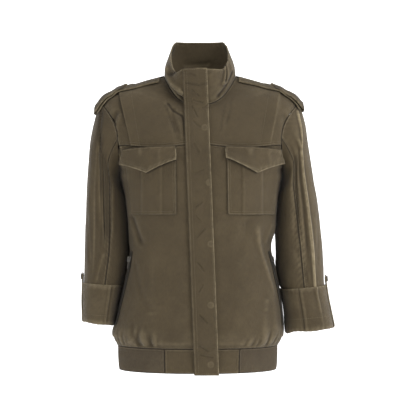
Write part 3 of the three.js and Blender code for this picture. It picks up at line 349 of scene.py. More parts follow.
def edge_distance(points, closed=False):
    """Distance from each point of a grid to its nearest edge, measured on the cloth."""
    u, v = distances(points, closed)
    if closed:
        return np.minimum(v, v[-1:] - v)[:, :-1]
    return np.minimum(np.minimum(u, u[:, -1:] - u), np.minimum(v, v[-1:] - v))


def settle(points, closed=False, facing=1, pucker=0.3):
    """Moves a panel's face by the ripple, and by small puckers that fade 7 mm from its edges."""
    u, v = distances(points, closed)
    u, v = (u[:, :-1], v[:, :-1]) if closed else (u, v)
    gathered = np.sin(u / 1.9 + 1.7 * np.sin(v / 23)) + np.sin(v / 2.1 + 1.9 * np.sin(u / 19))
    lift = 0.8 * ripple(points) + pucker * gathered * np.exp(-edge_distance(points, closed) / 6)
    return points + lift[..., None] * grid_normal(points, closed, facing)


def bulge(points, normals, reach, closed=False):
    """How far each point stands out from the middle of its neighbours at a reach in mm, both ways
    of the grid: above 0 on ridges, below 0 in creases."""
    total = 0
    for axis in (0, 1):
        step = np.median(np.linalg.norm(np.diff(points, axis=axis), axis=-1))
        k = int(np.clip(round(reach / step), 1, points.shape[axis] // 4))
        grid = np.moveaxis(points, axis, 0)
        if closed and axis:
            wide = np.pad(grid, ((k, k), (0, 0), (0, 0)), mode="wrap")
        else:
            wide = np.pad(grid, ((k, k), (0, 0), (0, 0)), mode="reflect", reflect_type="odd")
        middle = np.moveaxis((wide[:-2 * k] + wide[2 * k:]) / 2, 0, axis)
        total = total + np.sum((points - middle) * normals, -1)
    return total


def mesh_of(name, points, faces, uv, material):
    """A smooth mesh from points in mm, with its UV map in metres on the cloth."""
    mesh = bpy.data.meshes.new(name)
    mesh.from_pydata((points / 1000).tolist(), [], faces.tolist())
    mesh.uv_layers.new(name="cut").data.foreach_set("uv", uv.reshape(-1).astype(np.float32))
    mesh.polygons.foreach_set("use_smooth", [True] * len(faces))
    mesh.materials.append(material)
    return mesh


def cloth(
    name, outer, thick, closed=False, facing=1, folded=1, wear=0, shade=0, edge=0,
    material=None, out=None,
):
    """A cloth wall: a grid of outer points, and the same grid moved in along its normals, joined
    round the edges. Four values go with its points: wear with painted highlight on the ridges of
    folds, painted shade at their bottoms, inset, which is the distance from the nearest edge in mm,
    and turned, which is 1 where that edge is turned under instead of sewn to a neighbour. The first
    two follow the folds by a share, and the given wear with highlight and painted shade are added
    to them."""
    rows, columns = outer.shape[:2]
    normals = grid_normal(outer, closed, facing)
    inner = outer - thick * (normals if out is None else out)
    count = rows * columns
    span = columns if closed else columns - 1
    i, j = np.meshgrid(np.arange(rows - 1), np.arange(span), indexing="ij")
    a, b = i * columns + j, i * columns + (j + 1) % columns
    d, c = a + columns, b + columns
    uv = np.stack(distances(outer, closed), -1) / 1000
    ua, ub, uc, ud = uv[:-1, :span], uv[:-1, 1:span + 1], uv[1:, 1:span + 1], uv[1:, :span]
    faces = [(a, b, c, d), (d + count, c + count, b + count, a + count)]
    corners = [(ua, ub, uc, ud), (ud, uc, ub, ua)]
    every, first, last = slice(None), slice(0, 1), slice(-1, None)
    rims = [(b, a, ub, ua, first), (d, c, ud, uc, last)]
    if not closed:
        rims += [(a, d, ua, ud, (every, first)), (c, b, uc, ub, (every, last))]
    for p, q, up, uq, part in rims:
        faces.append((p[part], q[part], q[part] + count, p[part] + count))
        corners.append((up[part], uq[part], uq[part], up[part]))
    quads = np.concatenate([np.stack(f, -1).reshape(-1, 4) for f in faces])
    loops = np.concatenate([np.stack(f, 2).reshape(-1, 4, 2) for f in corners])
    if facing < 0:
        quads, loops = quads[:, ::-1], loops[:, ::-1]
    points = np.concatenate([outer.reshape(-1, 3), inner.reshape(-1, 3)])
    mesh = mesh_of(name, points, quads, loops, material or twill)
    inset = np.minimum(edge_distance(outer, closed), FAR_FROM_EDGE)
    stands = bulge(outer, normals, 7, closed)
    # lighter on the ridges of folds as wear and painted highlight, darker in their creases as
    # painted shade
    worn_and_lit = np.clip(folded * np.clip(stands * 0.2 - 0.04, 0, 0.35) + wear, 0, 1)
    dark = np.clip(folded * np.clip(-stands * 0.36 - 0.05, 0, 0.7) + shade, 0, 1)
    masks = {"wear": worn_and_lit, "painted_shading": dark, "inset": inset, "turned": edge + 0 * inset}
    for mask, value in masks.items():
        both = np.concatenate([value.reshape(-1), value.reshape(-1)])
        mesh.attributes.new(mask, "FLOAT", "POINT").data.foreach_set("value", both)
    mesh.set_sharp_from_angle(angle=np.radians(50))
    return add_object(name, mesh)


def node_in(tree, kind, inputs=(), **settings):
    """A shader node with its settings, and with each input given as a value or a socket."""
    made = tree.nodes.new(kind)
    for key, value in settings.items():
        setattr(made, key, value)
    for key, value in dict(inputs).items():
        if isinstance(value, bpy.types.NodeSocket):
            tree.links.new(value, made.inputs[key])
        else:
            made.inputs[key].default_value = value
    return made


def shader_group(name, inputs, outputs):
    """An empty node group with named sockets, and its two end nodes."""
    group = bpy.data.node_groups.new(name, "ShaderNodeTree")
    for label, kind, value in inputs:
        socket = group.interface.new_socket(label, in_out="INPUT", socket_type=kind)
        socket.default_value = value
    for label, kind in outputs:
        group.interface.new_socket(label, in_out="OUTPUT", socket_type=kind)
    start, end = group.nodes.new("NodeGroupInput"), group.nodes.new("NodeGroupOutput")
    return group, start.outputs, end.inputs


def maths(tree, operation, *values, clamp=False):
    inputs = dict(enumerate(values))
    return node_in(tree, "ShaderNodeMath", inputs, operation=operation, use_clamp=clamp).outputs[0]


def times(tree, a, b):
    return maths(tree, "MULTIPLY", a, b)


def noise(tree, place, scale, **inputs):
    inputs = {"Vector": place, "Scale": scale, **inputs}
    return node_in(tree, "ShaderNodeTexNoise", inputs).outputs[0]


def blend(tree, share, low, high):
    """A colour between two others, by a share."""
    inputs = {0: share, 6: low, 7: high}
    return node_in(tree, "ShaderNodeMix", inputs, data_type="RGBA").outputs[2]


def attribute(tree, name):
    return node_in(tree, "ShaderNodeAttribute", attribute_name=name).outputs["Fac"]


def fall(tree, value, start, stop, high, low):
    """A value's share between two bounds, eased, from high to low."""
    inputs = {"Value": value, "From Min": start, "From Max": stop, "To Min": high, "To Max": low}
    return node_in(tree, "ShaderNodeMapRange", inputs, interpolation_type="SMOOTHSTEP").outputs[0]


# The weave group: diagonal twill lines across the cloth's own UV map, broken up by uneven yarn.
weave, weave_in, weave_out = shader_group(
    "twill weave",
    [("Lines per metre", "NodeSocketFloat", 900.0), ("Slub", "NodeSocketFloat", 0.5)],
    [("Height", "NodeSocketFloat"), ("Yarn", "NodeSocketFloat")],
)
weave_uv = node_in(weave, "ShaderNodeUVMap", uv_map="cut").outputs[0]
weave_xy = node_in(weave, "ShaderNodeSeparateXYZ", {0: weave_uv}).outputs
diagonal = times(weave, maths(weave, "ADD", weave_xy[0], weave_xy[1]), weave_in[0])
lines = maths(weave, "SINE", times(weave, diagonal, 6.2832))
stretch = node_in(weave, "ShaderNodeMapping", {"Vector": weave_uv, "Scale": (1.0, 0.16, 1.0)})
slub = noise(weave, stretch.outputs[0], 700.0, Detail=2.0)
height = maths(weave, "MULTIPLY_ADD", lines, 0.3, times(weave, slub, weave_in[1]))
weave.links.new(height, weave_out["Height"])
weave.links.new(slub, weave_out["Yarn"])

# The washed cloth group: three shades of one dye, faded in patches and along worn edges. The
# seams are darker with painted shade, the ridges of folds lighter with wear and painted highlight,
# and the painted shading mask darkens creases and other places with painted shade.
washed, washed_in, washed_out = shader_group(
    "washed cloth",
    [
        ("Deep", "NodeSocketColor", (0.05, 0.04, 0.03, 1)),
        ("Middle", "NodeSocketColor", (0.1, 0.08, 0.05, 1)),
        ("Faded", "NodeSocketColor", (0.2, 0.17, 0.12, 1)),
        ("Yarn", "NodeSocketFloat", 0.5),
    ],
    [("Color", "NodeSocketColor"), ("Roughness", "NodeSocketFloat")],
)
where = node_in(washed, "ShaderNodeTexCoord").outputs["Object"]
patches = noise(washed, where, 13.0, Detail=5.0, Roughness=0.6)
mottle = noise(washed, where, 110.0, Detail=3.0)
wear_mask, painted_shading_mask = attribute(washed, "wear"), attribute(washed, "painted_shading")
inset, turned = attribute(washed, "inset"), attribute(washed, "turned")
dyed = -0.05
for part, share in ((patches, 0.55), (mottle, 0.25), (washed_in["Yarn"], 0.35)):
    dyed = maths(washed, "MULTIPLY_ADD", part, share, dyed)
ground = blend(washed, dyed, washed_in["Deep"], washed_in["Middle"])
# painted highlight mixed with wear: the ridges of folds fade towards the faded dye
scuffed_and_lit = maths(washed, "MULTIPLY", times(washed, wear_mask, mottle), 1.3, clamp=True)
faded = blend(washed, scuffed_and_lit, ground, washed_in["Faded"])
edge_light = times(washed, turned, fall(washed, inset, 0.5, 2.2, 0.9, 0.0))
ridge_rise = fall(washed, inset, 0.9, 2.4, 0.0, 1.0)
ridge_light = times(washed, ridge_rise, fall(washed, inset, 3.2, 5.0, 0.16, 0.0))
uneven = maths(washed, "MULTIPLY_ADD", mottle, 2.2, -0.35, clamp=True)
light_line = times(washed, maths(washed, "MAXIMUM", edge_light, ridge_light), uneven)
lined = blend(washed, light_line, faded, washed_in["Faded"])
sewn = maths(washed, "SUBTRACT", 1.0, turned)
# painted shade along the sewn seams, added to the painted shading mask
seam_painted_shade = times(washed, fall(washed, inset, 0.5, 2.6, 0.85, 0.0), sewn)
dark_mask = maths(washed, "ADD", seam_painted_shade, painted_shading_mask, clamp=True)
deep = blend(washed, dark_mask, lined, washed_in["Deep"])
washed.links.new(deep, washed_out["Color"])
washed.links.new(maths(washed, "MULTIPLY_ADD", mottle, 0.2, 0.76), washed_out["Roughness"])

# The seam relief group, in mm: the cloth stands up beside a seam, is drawn down along the
# stitches 4 mm in, puckers between them, and is crinkled by wear further off.
relief, _, relief_out = shader_group("seam relief", [], [("Height", "NodeSocketFloat")])
place = node_in(relief, "ShaderNodeTexCoord").outputs["Object"]
from_edge = attribute(relief, "inset")
rise = fall(relief, from_edge, 0.0, 1.8, 0.0, 1.0)
rise = times(relief, rise, fall(relief, from_edge, 2.6, 4.4, 0.9, 0.0))
settled = fall(relief, from_edge, 4.2, 9.0, 0.0, 0.5)
pucker = fall(relief, from_edge, 3.0, 11.0, 0.9, 0.0)
pucker = times(relief, pucker, noise(relief, place, 170.0, Detail=2.0))
crinkle = fall(relief, noise(relief, place, 7.0, Detail=1.0), 0.38, 0.66, 0.5, 3.4)
crinkle = times(relief, crinkle, noise(relief, place, 34.0, Detail=3.0, Distortion=1.1))
for part in (settled, pucker, crinkle):
    rise = maths(relief, "ADD", rise, part)
relief.links.new(rise, relief_out["Height"])


def cloth_material(name, deep_dye, middle_dye, faded_dye, lines_per_metre, weave_relief):
    """A matt cotton finish from the three groups above, with a faint nap."""
    made = bpy.data.materials.new(name)
    made.use_nodes = True
    tree = made.node_tree
    shader = tree.nodes["Principled BSDF"]
    yarn = node_in(tree, "ShaderNodeGroup", node_tree=weave)
    yarn.inputs["Lines per metre"].default_value = lines_per_metre
    dyes = {"Deep": (*deep_dye, 1), "Middle": (*middle_dye, 1), "Faded": (*faded_dye, 1)}
    dye = node_in(tree, "ShaderNodeGroup", node_tree=washed)
    for label, colour in dyes.items():
        dye.inputs[label].default_value = colour
    tree.links.new(yarn.outputs["Yarn"], dye.inputs["Yarn"])
    seams = node_in(tree, "ShaderNodeGroup", node_tree=relief).outputs["Height"]
    total = maths(tree, "MULTIPLY_ADD", yarn.outputs["Height"], weave_relief, seams)
    bump = node_in(tree, "ShaderNodeBump", {"Height": total, "Distance": 0.001, "Strength": 1.0})
    tree.links.new(dye.outputs["Color"], shader.inputs["Base Color"])
    tree.links.new(dye.outputs["Roughness"], shader.inputs["Roughness"])
    tree.links.new(bump.outputs[0], shader.inputs["Normal"])
    shader.inputs["Specular IOR Level"].default_value = 0.18
    shader.inputs["Sheen Weight"].default_value = 0.06
    shader.inputs["Sheen Roughness"].default_value = 0.5
    return made


twill = cloth_material(
    "olive_twill", (0.024, 0.0175, 0.0095), (0.084, 0.0625, 0.0335), (0.24, 0.195, 0.12),
    900.0, 0.28,
)
thread_material = cloth_material(
    "olive_thread", (0.08, 0.064, 0.038), (0.15, 0.122, 0.075), (0.2, 0.165, 0.105), 1500.0, 0.1
)


def sew(name, rows_of_points):
    """Rows of topstitching: along each line of points and normals, one thread stitch every 4 mm,
    a long octahedron 2.8 mm by 0.9 mm that lies on the cloth."""
    pitch, reach, half = 4, 1.4, 0.46
    verts, faces = [], []
    for points, out in rows_of_points:
        run = run_length(points)
        at = np.arange(pitch / 2, run[-1] - pitch / 2, pitch)
        if len(at) == 0:
            continue

        def sample(values, where):
            return np.stack([np.interp(where, run, values[:, k]) for k in range(3)], 1)

        start, stop = sample(points, at - reach), sample(points, at + reach)
        up = unit(sample(out, at))
        side = half * unit(np.cross(stop - start, up))
        middle = sample(points, at) + 0.15 * up
        ring_points = [middle + side, middle + half * up, middle - side, middle - 0.3 * up]
        block = np.stack([start - 0.1 * up, *ring_points, stop - 0.1 * up], 1)
        base = sum(len(v) for v in verts) + 6 * np.arange(len(at))[:, None, None]
        tri = [(0, 1 + k, 1 + (k + 1) % 4) for k in range(4)]
        tri += [(5, 1 + (k + 1) % 4, 1 + k) for k in range(4)]
        verts.append(block.reshape(-1, 3))
        faces.append((base + np.array(tri)[None]).reshape(-1, 3))
    points, faces = np.concatenate(verts), np.concatenate(faces)
    uv = points[faces.reshape(-1)][:, [0, 2]] / 1000
    mesh = mesh_of(name, points, faces, uv, thread_material)
    inset = [FAR_FROM_EDGE] * len(points)
    mesh.attributes.new("inset", "FLOAT", "POINT").data.foreach_set("value", inset)
    stitches = add_object(name, mesh)
    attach(stitches, "jacket")


def line_in(points, edge, inset, facing=1, trim=(0, 0), closed=False):
    """A line inside one edge of a grid, at a distance in mm, with the normals there. Rows run up
    the grid and columns to the right. The trim is left off its two ends, in mm."""
    grid = np.concatenate([points, grid_normal(points, closed, facing)], -1)
    if closed:
        grid = np.concatenate([grid, grid[:, :1]], 1)
    if edge in ("left", "right"):
        grid = grid.swapaxes(0, 1)
    if edge in ("right", "top"):
        grid = grid[::-1]
    step = np.linalg.norm(np.diff(grid[..., :3], axis=0), axis=-1)
    run = np.pad(np.cumsum(step, 0), ((1, 0), (0, 0)))
    row = np.array([np.interp(inset, r, np.arange(len(r))) for r in run.T])
    low = np.minimum(row.astype(int), len(grid) - 2)
    across = np.arange(grid.shape[1])
    line = mix(grid[low, across], grid[low + 1, across], (row - low)[:, None])
    along = run_length(line[:, :3])
    line = line[(along >= trim[0]) & (along <= along[-1] - trim[1])]
    return line[:, :3], line[:, 3:]


def lines_in(points, edges, insets, facing=1, trim=(0, 0), closed=False):
    """Lines inside several edges, at each distance. Without a trim they meet at the corners."""
    return [
        line_in(points, edge, inset, facing, trim or (inset, inset), closed)
        for edge in edges.split() for inset in insets
    ]


def fly_middle(z):
    """The centre line of the fly, which leans to the wearer's left on its way down."""
    return mix(-9, 17, (COLLAR_FRONT_TOP - z) / (COLLAR_FRONT_TOP - HEM_EDGE))


def centre_turn(surface, level):
    """The angle at which a ring crosses the centre front, by halving."""
    low, high = np.full(np.shape(level), np.radians(-30)), np.full(np.shape(level), np.radians(30))
    for _ in range(30):
        middle = (low + high) / 2
        p = surface(middle, level)
        short = p[..., 0] < fly_middle(p[..., 2])
        low, high = np.where(short, middle, low), np.where(short, high, middle)
    return (low + high) / 2


def armhole_turn(level, widest):
    """Half the armhole's opening, as an angle, at a level: an oval."""
    cosine = np.clip((level - ARMHOLE_MIDDLE) / ARMHOLE_HALF, -1, 1)
    return widest * np.sqrt(1 - cosine * cosine)


def front_grid(side, edge, centre, columns):
    """A front panel's grid: rows from the centre front to the side seam or armhole, each between
    two levels. The columns always run towards the wearer's left."""
    edge, centre = edge[:, None], centre[:, None]
    s = np.linspace(0, 1, columns)[None]
    level = mix(centre, edge, s)
    seam = np.pi / 2 - armhole_turn(edge, ARMHOLE_FRONT) - (SEAM_GAP / 300)
    middle = centre_turn(eased_body, level) + side * SEAM_GAP / 240
    turn = mix(middle, side * seam, s)
    return (turn, level) if side > 0 else (turn[:, ::-1], level[:, ::-1])


def panel(name, face, thick, flat, area, rows=(), on=(), slot="twill", **marks):
    """One of the jacket's cloth pieces: its wall, what it replaces, the body it rides on, and its
    topstitching. Its cut, the flat and area values, is not used."""
    piece = cloth(f"{name}_cloth", face, thick, **marks)
    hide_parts(name)
    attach(piece, "jacket")
    if rows:
        sew(f"{name}_stitches", rows)


def line_distance(x, z, line):
    """Distance in the front view from each place to a line through several points."""
    nearest = np.full(np.shape(x), 1e9)
    for (x_a, z_a), (x_b, z_b) in zip(line[:-1], line[1:]):
        run_x, run_z = x_b - x_a, z_b - z_a
        t = np.clip(((x - x_a) * run_x + (z - z_a) * run_z) / (run_x ** 2 + run_z ** 2), 0, 1)
        nearest = np.minimum(nearest, np.hypot(x - x_a - t * run_x, z - z_a - t * run_z))
    return nearest


# the columns and rows stop this far short of a seam, in mm
SEAM_STOP = 0.15
ARMHOLE_TOP = ARMHOLE_MIDDLE + ARMHOLE_HALF
low_rows = np.arange(BAND_TOP + SEAM_STOP, -218, 3.4)
armhole_rows = ARMHOLE_MIDDLE + ARMHOLE_HALF * np.cos(np.radians(np.linspace(180, 120, 16)))
front_rows = np.concatenate([low_rows, armhole_rows])
front_share = np.concatenate([0 * low_rows, np.linspace(0, 1, 16)])
front_centre = mix(CHEST_LEVEL, YOKE_SEAM_CENTRE, front_share)
front_centre = np.where(front_share > 0, front_centre, front_rows)
front_rows[-1] -= SEAM_STOP
front_centre[-1] -= SEAM_STOP
fronts = {}
for side_name, side in SIDES.items():
    turn, level = front_grid(side, front_rows, front_centre, 84)
    fronts[side_name] = face = settle(body(turn, level))
    rows = [line_in(face, "right" if side > 0 else "left", 3.5), line_in(face, "bottom", 3)]
    panel(f"front_{side_name}", face, CLOTH, (0.27, 0.49), 0.105, rows, folded=0.8)

# Yokes: the two upper front panels, in the same twill, sewn to the fronts and the back. Each has
# a tuck from the shoulder to its lower seam, folded towards the armhole and stitched down.
# sewn line and fold line of each tuck: x at the top and at the bottom
TUCKS = {"right": (-149, -130, -176, -149), "left": (154, 135, 178, 157)}
TUCK_TOP, TUCK_BOTTOM, TUCK_RISE = -40, -144, 3.4
# columns of a yoke's grid at the sewn line, at the fold, just under it and at the armhole
TUCK_SEWN, TUCK_FOLD, TUCK_UNDER, YOKE_LAST = 44, 56, 57, 75
# creases drawn from the neck: their points in the front view, and their depth
YOKE_LINES = {
    "right": [
        ([(-68, -58), (-56, -75), (-36, -87), (-31, -104), (-30, -128)], -2.2),
        ([(-72, -64), (-64, -88), (-52, -122)], -0.8),
        ([(-48, -90), (-40, -108), (-37, -136)], 0.8),
    ],
    "left": [
        ([(58, -60), (52, -90), (48, -120)], -0.7),
        ([(72, -48), (70, -70), (60, -104)], -0.6),
    ],
}

def shoulder_level(share):
    """Levels from the top of the armhole to the neck, at a share of the way between."""
    risen = np.interp(share, [0, 0.25, 0.5, 0.75, 1], [0, 0.2, 0.45, 0.7, 1])
    return mix(ARMHOLE_TOP, NECK_LEVEL, risen)


yoke_step = np.concatenate([np.linspace(0, 8, 30), np.linspace(8, 12, 34)[1:]])
yoke_arc = np.radians(15 * (8 - np.minimum(yoke_step, 8)))
yoke_arc = ARMHOLE_MIDDLE + ARMHOLE_HALF * np.cos(yoke_arc)
yoke_edge = np.where(yoke_step < 8, yoke_arc, shoulder_level((yoke_step - 8) / 4))
yoke_centre = mix(YOKE_SEAM_CENTRE, NECK_LEVEL, yoke_step / 12)
yoke_edge[0] += SEAM_STOP
yoke_centre[0] += SEAM_STOP
share = np.linspace(0, 1, 240)
column = np.arange(YOKE_LAST + 1)
over = np.clip((column - TUCK_SEWN) / (TUCK_FOLD - TUCK_SEWN), 0, 1) * (column < TUCK_UNDER)
yokes = {}
for side_name, side in SIDES.items():
    turn, level = (grid[:, ::side] for grid in front_grid(side, yoke_edge, yoke_centre, 240))
    rough_face = eased_body(turn, level)
    down = np.clip((rough_face[..., 2] - TUCK_TOP) / (TUCK_BOTTOM - TUCK_TOP), -0.3, 1.1)
    sewn_top, sewn_low, fold_top, fold_low = TUCKS[side_name]
    sewn = side * (rough_face[..., 0] - mix(sewn_top, sewn_low, down))
    fold = side * (rough_face[..., 0] - mix(fold_top, fold_low, down))
    knots = [0, TUCK_SEWN, TUCK_FOLD, TUCK_UNDER, YOKE_LAST]
    picked = []
    for sewn_row, fold_row, *grids in zip(sewn, fold, turn, level):
        a, b = np.interp(0, sewn_row, share), np.interp(0, fold_row, share)
        at = np.interp(column, knots, [0, a, b, b + 0.002, 1])
        picked.append([np.interp(at, share, grid) for grid in grids])
    turn, level = np.array(picked).swapaxes(0, 1)[..., ::side]
    rise = np.where(over > 0, 0.1 + TUCK_RISE * over, 0)[::side]
    face = settle(body(turn, level)) + rise[None, :, None] * body_out(turn, level)
    drawn = 0
    for line, depth in YOKE_LINES[side_name]:
        dent = bell(line_distance(face[..., 0], face[..., 2], line), 2.2)
        face = face + (depth * dent)[..., None] * body_out(turn, level)
        drawn = drawn - depth / 2 * dent
    yokes[side_name] = face
    # Painted light on the yokes: painted shade along the tuck's fold on the wearer's right and a
    # painted highlight along it on the left, a painted shadow beside the collar on the wearer's
    # right, and painted shade in the drawn creases.
    pressed = bell(column - TUCK_UNDER, 1.2)[::side][None] * smooth(-152, -120, face[..., 2])
    near_neck = smooth(17, 1, np.linalg.norm(face - face[-1:], axis=-1))
    shade = 0.75 * near_neck * smooth(-28, -45, face[..., 0]) + (0.8 * pressed if side < 0 else 0)
    shade = shade + np.maximum(drawn, 0) * 0.8
    wear = 0.5 * pressed if side > 0 else 0
    tuck = TUCK_SEWN if side > 0 else YOKE_LAST - TUCK_SEWN
    rows = lines_in(face, "bottom", (2.2, 8))
    rows.append(line_in(face, "right" if side > 0 else "left", 3.5))
    rows.append((face[:, tuck], grid_normal(face)[:, tuck - side]))
    name = f"yoke_{side_name}"
    panel(name, face, CLOTH, (0.27, 0.30), 0.034, rows, folded=0.4, wear=wear, shade=shade)

# Back: one panel in the same twill, from side seam to side seam and from the band to the neck.
back_level = np.concatenate([
    np.arange(BAND_TOP + SEAM_STOP, -218, 4.2),
    ARMHOLE_MIDDLE + ARMHOLE_HALF * np.cos(np.radians(np.linspace(180, 0, 32))),
    shoulder_level(np.arange(1, 33) / 32),
])[:, None]
back_inset = armhole_turn(back_level, ARMHOLE_BACK) + SEAM_GAP / 300
back_turn = mix(np.pi / 2 + back_inset, 1.5 * np.pi - back_inset, np.linspace(0, 1, 128)[None])
back_face = settle(body(back_turn, back_level))
rows = lines_in(back_face, "left right bottom", (3.5,))
panel("back", back_face, CLOTH, (0.52, 0.77), 0.281, rows)

# Rib band: knitted rib, doubled, round the sides and back of the hem. Ribs 2.75 mm apart.
DOUBLE_CLOTH, RIB_PITCH, BAND_COLUMNS = 2.6, 2.75, 1560
RIB_END = {"left": np.radians(27), "right": np.radians(21)}
rib = cloth_material(
    "olive_rib", (0.022, 0.0165, 0.010), (0.084, 0.064, 0.040), (0.17, 0.138, 0.09), 500.0, 0.2
)
band_level = np.linspace(HEM_EDGE, BAND_TOP - SEAM_STOP, 18)[:, None]
band_ends = RIB_END["left"] + 0.001, 2 * np.pi - RIB_END["right"] - 0.001
band_turn = np.linspace(*band_ends, BAND_COLUMNS)[None]
band_face = body(band_turn, band_level)
# the normals change slowly, so they are found in every eighth column only
column = np.arange(BAND_COLUMNS)
band_out = body_out(band_turn[:, ::8], band_level)
band_out = np.stack([[np.interp(column, column[::8], part) for part in row.T] for row in band_out])
band_out = np.moveaxis(band_out, 1, 2)
rib_wave = 0.4 * np.cos(2 * np.pi * distances(band_face)[0] / RIB_PITCH) - 0.35
rib_wave = rib_wave + 0.9 * ripple(band_face)
rounded = 1.6 * (1 - np.abs(2 * (band_level - HEM_EDGE) / (BAND_TOP - HEM_EDGE) - 1) ** 3) - 0.8
band_face = band_face + (rib_wave + rounded)[..., None] * band_out
cut = (0.92, 0.055), 0.0505
panel("hem_band", band_face, DOUBLE_CLOTH, *cut, slot="rib", material=rib, out=band_out)

# Hem fronts: a plain doubled twill piece at each side of the fly, sewn to the rib band.
hem_middle = float(centre_turn(eased_body, np.array(HEM_EDGE)))
# of each piece: the angles of its ends, and its width in metres
HEM_PIECES = {
    "left": (hem_middle, RIB_END["left"], 0.074),
    "right": (-RIB_END["right"], hem_middle, 0.093),
}
hem_level = np.linspace(HEM_EDGE, BAND_TOP - SEAM_STOP, 20)[:, None]
for side_name in SIDES:
    low, high, width = HEM_PIECES[side_name]
    turn = np.linspace(low + 0.001, high - 0.001, 28)[None]
    face = settle(body(turn, hem_level), pucker=0.25)
    rows = lines_in(face, "top left right", (3,))
    panel(f"hem_front_{side_name}", face, DOUBLE_CLOTH, (width, 0.054), width * 0.053, rows)

# Collar: a doubled stand of the same twill, low in front and high behind, sewn to the neck.
def collar(turn, height):
    """From the neck seam at height 0 to a rim that rises behind at 1, bellied out by 5 mm."""
    turn, height = np.broadcast_arrays(np.asarray(turn, float), np.asarray(height, float))
    degrees = np.abs(wrapped(np.degrees(turn)))
    dip = np.where(np.sin(turn) < 0, 9 * bell(degrees - 48, 16), 0)
    rim = ring(turn, 66, 64, 97, 50, 3, COLLAR_FRONT_TOP + 74 * smooth(35, 135, degrees) - dip)
    out = np.stack([np.sin(turn), -np.cos(turn), 0 * turn], -1)
    return mix(neck(turn), rim, height[..., None]) + 5 * np.sin(np.pi * height)[..., None] * out


collar_height = np.linspace(0.006, 1, 48)[:, None]
collar_middle = centre_turn(collar, collar_height)
collar_turn = collar_middle + np.linspace(0.002, 2 * np.pi - 0.002, 300)[None]
# angle and height at a fold's two ends, its half width in mm, and its depth
COLLAR_FOLDS = [
    (-66, 0.66, -30, 0.34, 10, 8), (-56, 0.3, -26, 0.1, 4.5, -6), (-30, 0.2, -22, 0.3, 3.2, 2),
    (-50, 0.98, -56, 0.66, 6, -2.5), (53, 1.02, 38, 0.5, 3.6, 3.4), (60, 1.0, 46, 0.5, 3, -4),
    (38, 0.46, 48, 0.4, 3, 2.2), (66, 0.5, 30, 0.16, 6, -2.4), (75, 0.9, 68, 0.4, 7, 2),
    (120, 0.9, 100, 0.3, 12, -2.5), (-118, 0.85, -98, 0.3, 12, -2.5),
    (170, 0.35, 200, 0.3, 7, 2),
]
# a degree round the collar and its whole height, in mm
COLLAR_DEGREE, COLLAR_TALL = 1.4, 80
collar_face = collar(collar_turn, collar_height)
collar_degrees = wrapped(np.degrees(collar_turn))
# Painted shade: darker in the dents of the collar's folds, and a band of painted shade round its
# wearer's left side, which faces the brightest lamp.
collar_depth, collar_shade = 0, 0
for turn_a, height_a, turn_b, height_b, half, depth in COLLAR_FOLDS:
    x = wrapped(collar_degrees - turn_a) * COLLAR_DEGREE
    z = (collar_height - height_a) * COLLAR_TALL + 0 * x
    end = (turn_b - turn_a) * COLLAR_DEGREE, (height_b - height_a) * COLLAR_TALL
    dent = bell(line_distance(x, z, [(0, 0), end]), half)
    collar_depth = collar_depth + depth * dent
    collar_shade = collar_shade + np.clip(-depth, 0, 3.6) / 4 * dent
collar_shade = collar_shade + 0.22 * smooth(22, 40, collar_degrees) * smooth(95, 70, collar_degrees)
collar_depth = collar_depth * smooth(0, 0.12, collar_height)
collar_face = settle(collar_face + collar_depth[..., None] * grid_normal(collar_face), pucker=0.25)
rows = lines_in(collar_face, "left right top", (4,), trim=None)
marks = {"shade": np.clip(collar_shade, 0, 0.85), "edge": 0.8 * smooth(0.3, 0.6, collar_height)}
panel("collar", collar_face, DOUBLE_CLOTH, (0.54, 0.081), 0.034, rows, **marks)

# Fly: a doubled twill strip over the closure, from the hem to the top of the collar. It is sewn
# down at the wearer's right and fastened at the other edge by five press studs under it.
FLY_HALF_WIDTH = 27


def locate(surface, x, z, u, v, du, dv):
    """Where a surface's front view is (x, z), by ten Newton steps of limited size."""
    for _ in range(10):
        p = surface(u, v)
        pu, pv = (surface(u + du, v) - p) / du, (surface(u, v + dv) - p) / dv
        ex, ez = x - p[..., 0], z - p[..., 2]
        whole = pu[..., 0] * pv[..., 2] - pv[..., 0] * pu[..., 2]
        u = u + np.clip((ex * pv[..., 2] - ez * pv[..., 0]) / whole, -0.2, 0.2)
        v = v + np.clip((pu[..., 0] * ez - pu[..., 2] * ex) / whole, -40 * dv, 40 * dv)
    return u, v


def on_body(x, z):
    """The angle and level of the body at a place in the front view."""
    start = np.arcsin(np.clip(x / 185, -0.95, 0.95))
    return locate(eased_body, x, z, start, np.minimum(z, -100), 0.002, 0.5)


def front_depth(x, z):
    """How far forward the torso or the collar lies at a place in the front view."""
    base = NECK_FRONT + 4
    torso = body(*on_body(x, np.minimum(z, base - 6)))[..., 1]
    top = np.clip(z, base + 6, COLLAR_FRONT_TOP - 1)
    stand = collar(*locate(collar, x, top, np.arcsin(x / 90), 0.5 + 0 * x, 0.01, 0.01))[..., 1]
    return mix(torso, stand, np.clip((z - base + 6) / 12, 0, 1))


def fly_depth(x, z):
    """The same, eased over 32 mm of height, and never behind what it covers."""
    depths = [front_depth(x, np.maximum(HEM_EDGE, z + reach)) for reach in (-16, -8, 0, 8, 16)]
    return np.minimum(np.mean(depths, 0), depths[2])


STUDS = [(13, -113), (22, -233), (26, -366), (26, -498), (26, -627)]


def fly_grid(rows, columns):
    """Heights, shares of the half width and places across, over the whole fly."""
    z = np.linspace(HEM_EDGE - 3, COLLAR_FRONT_TOP + 1.5, rows)[:, None]
    s = np.linspace(-1, 1, columns)[None]
    return z, s, fly_middle(z) + s * FLY_HALF_WIDTH


fly_z, fly_s, fly_x = fly_grid(520, 45)
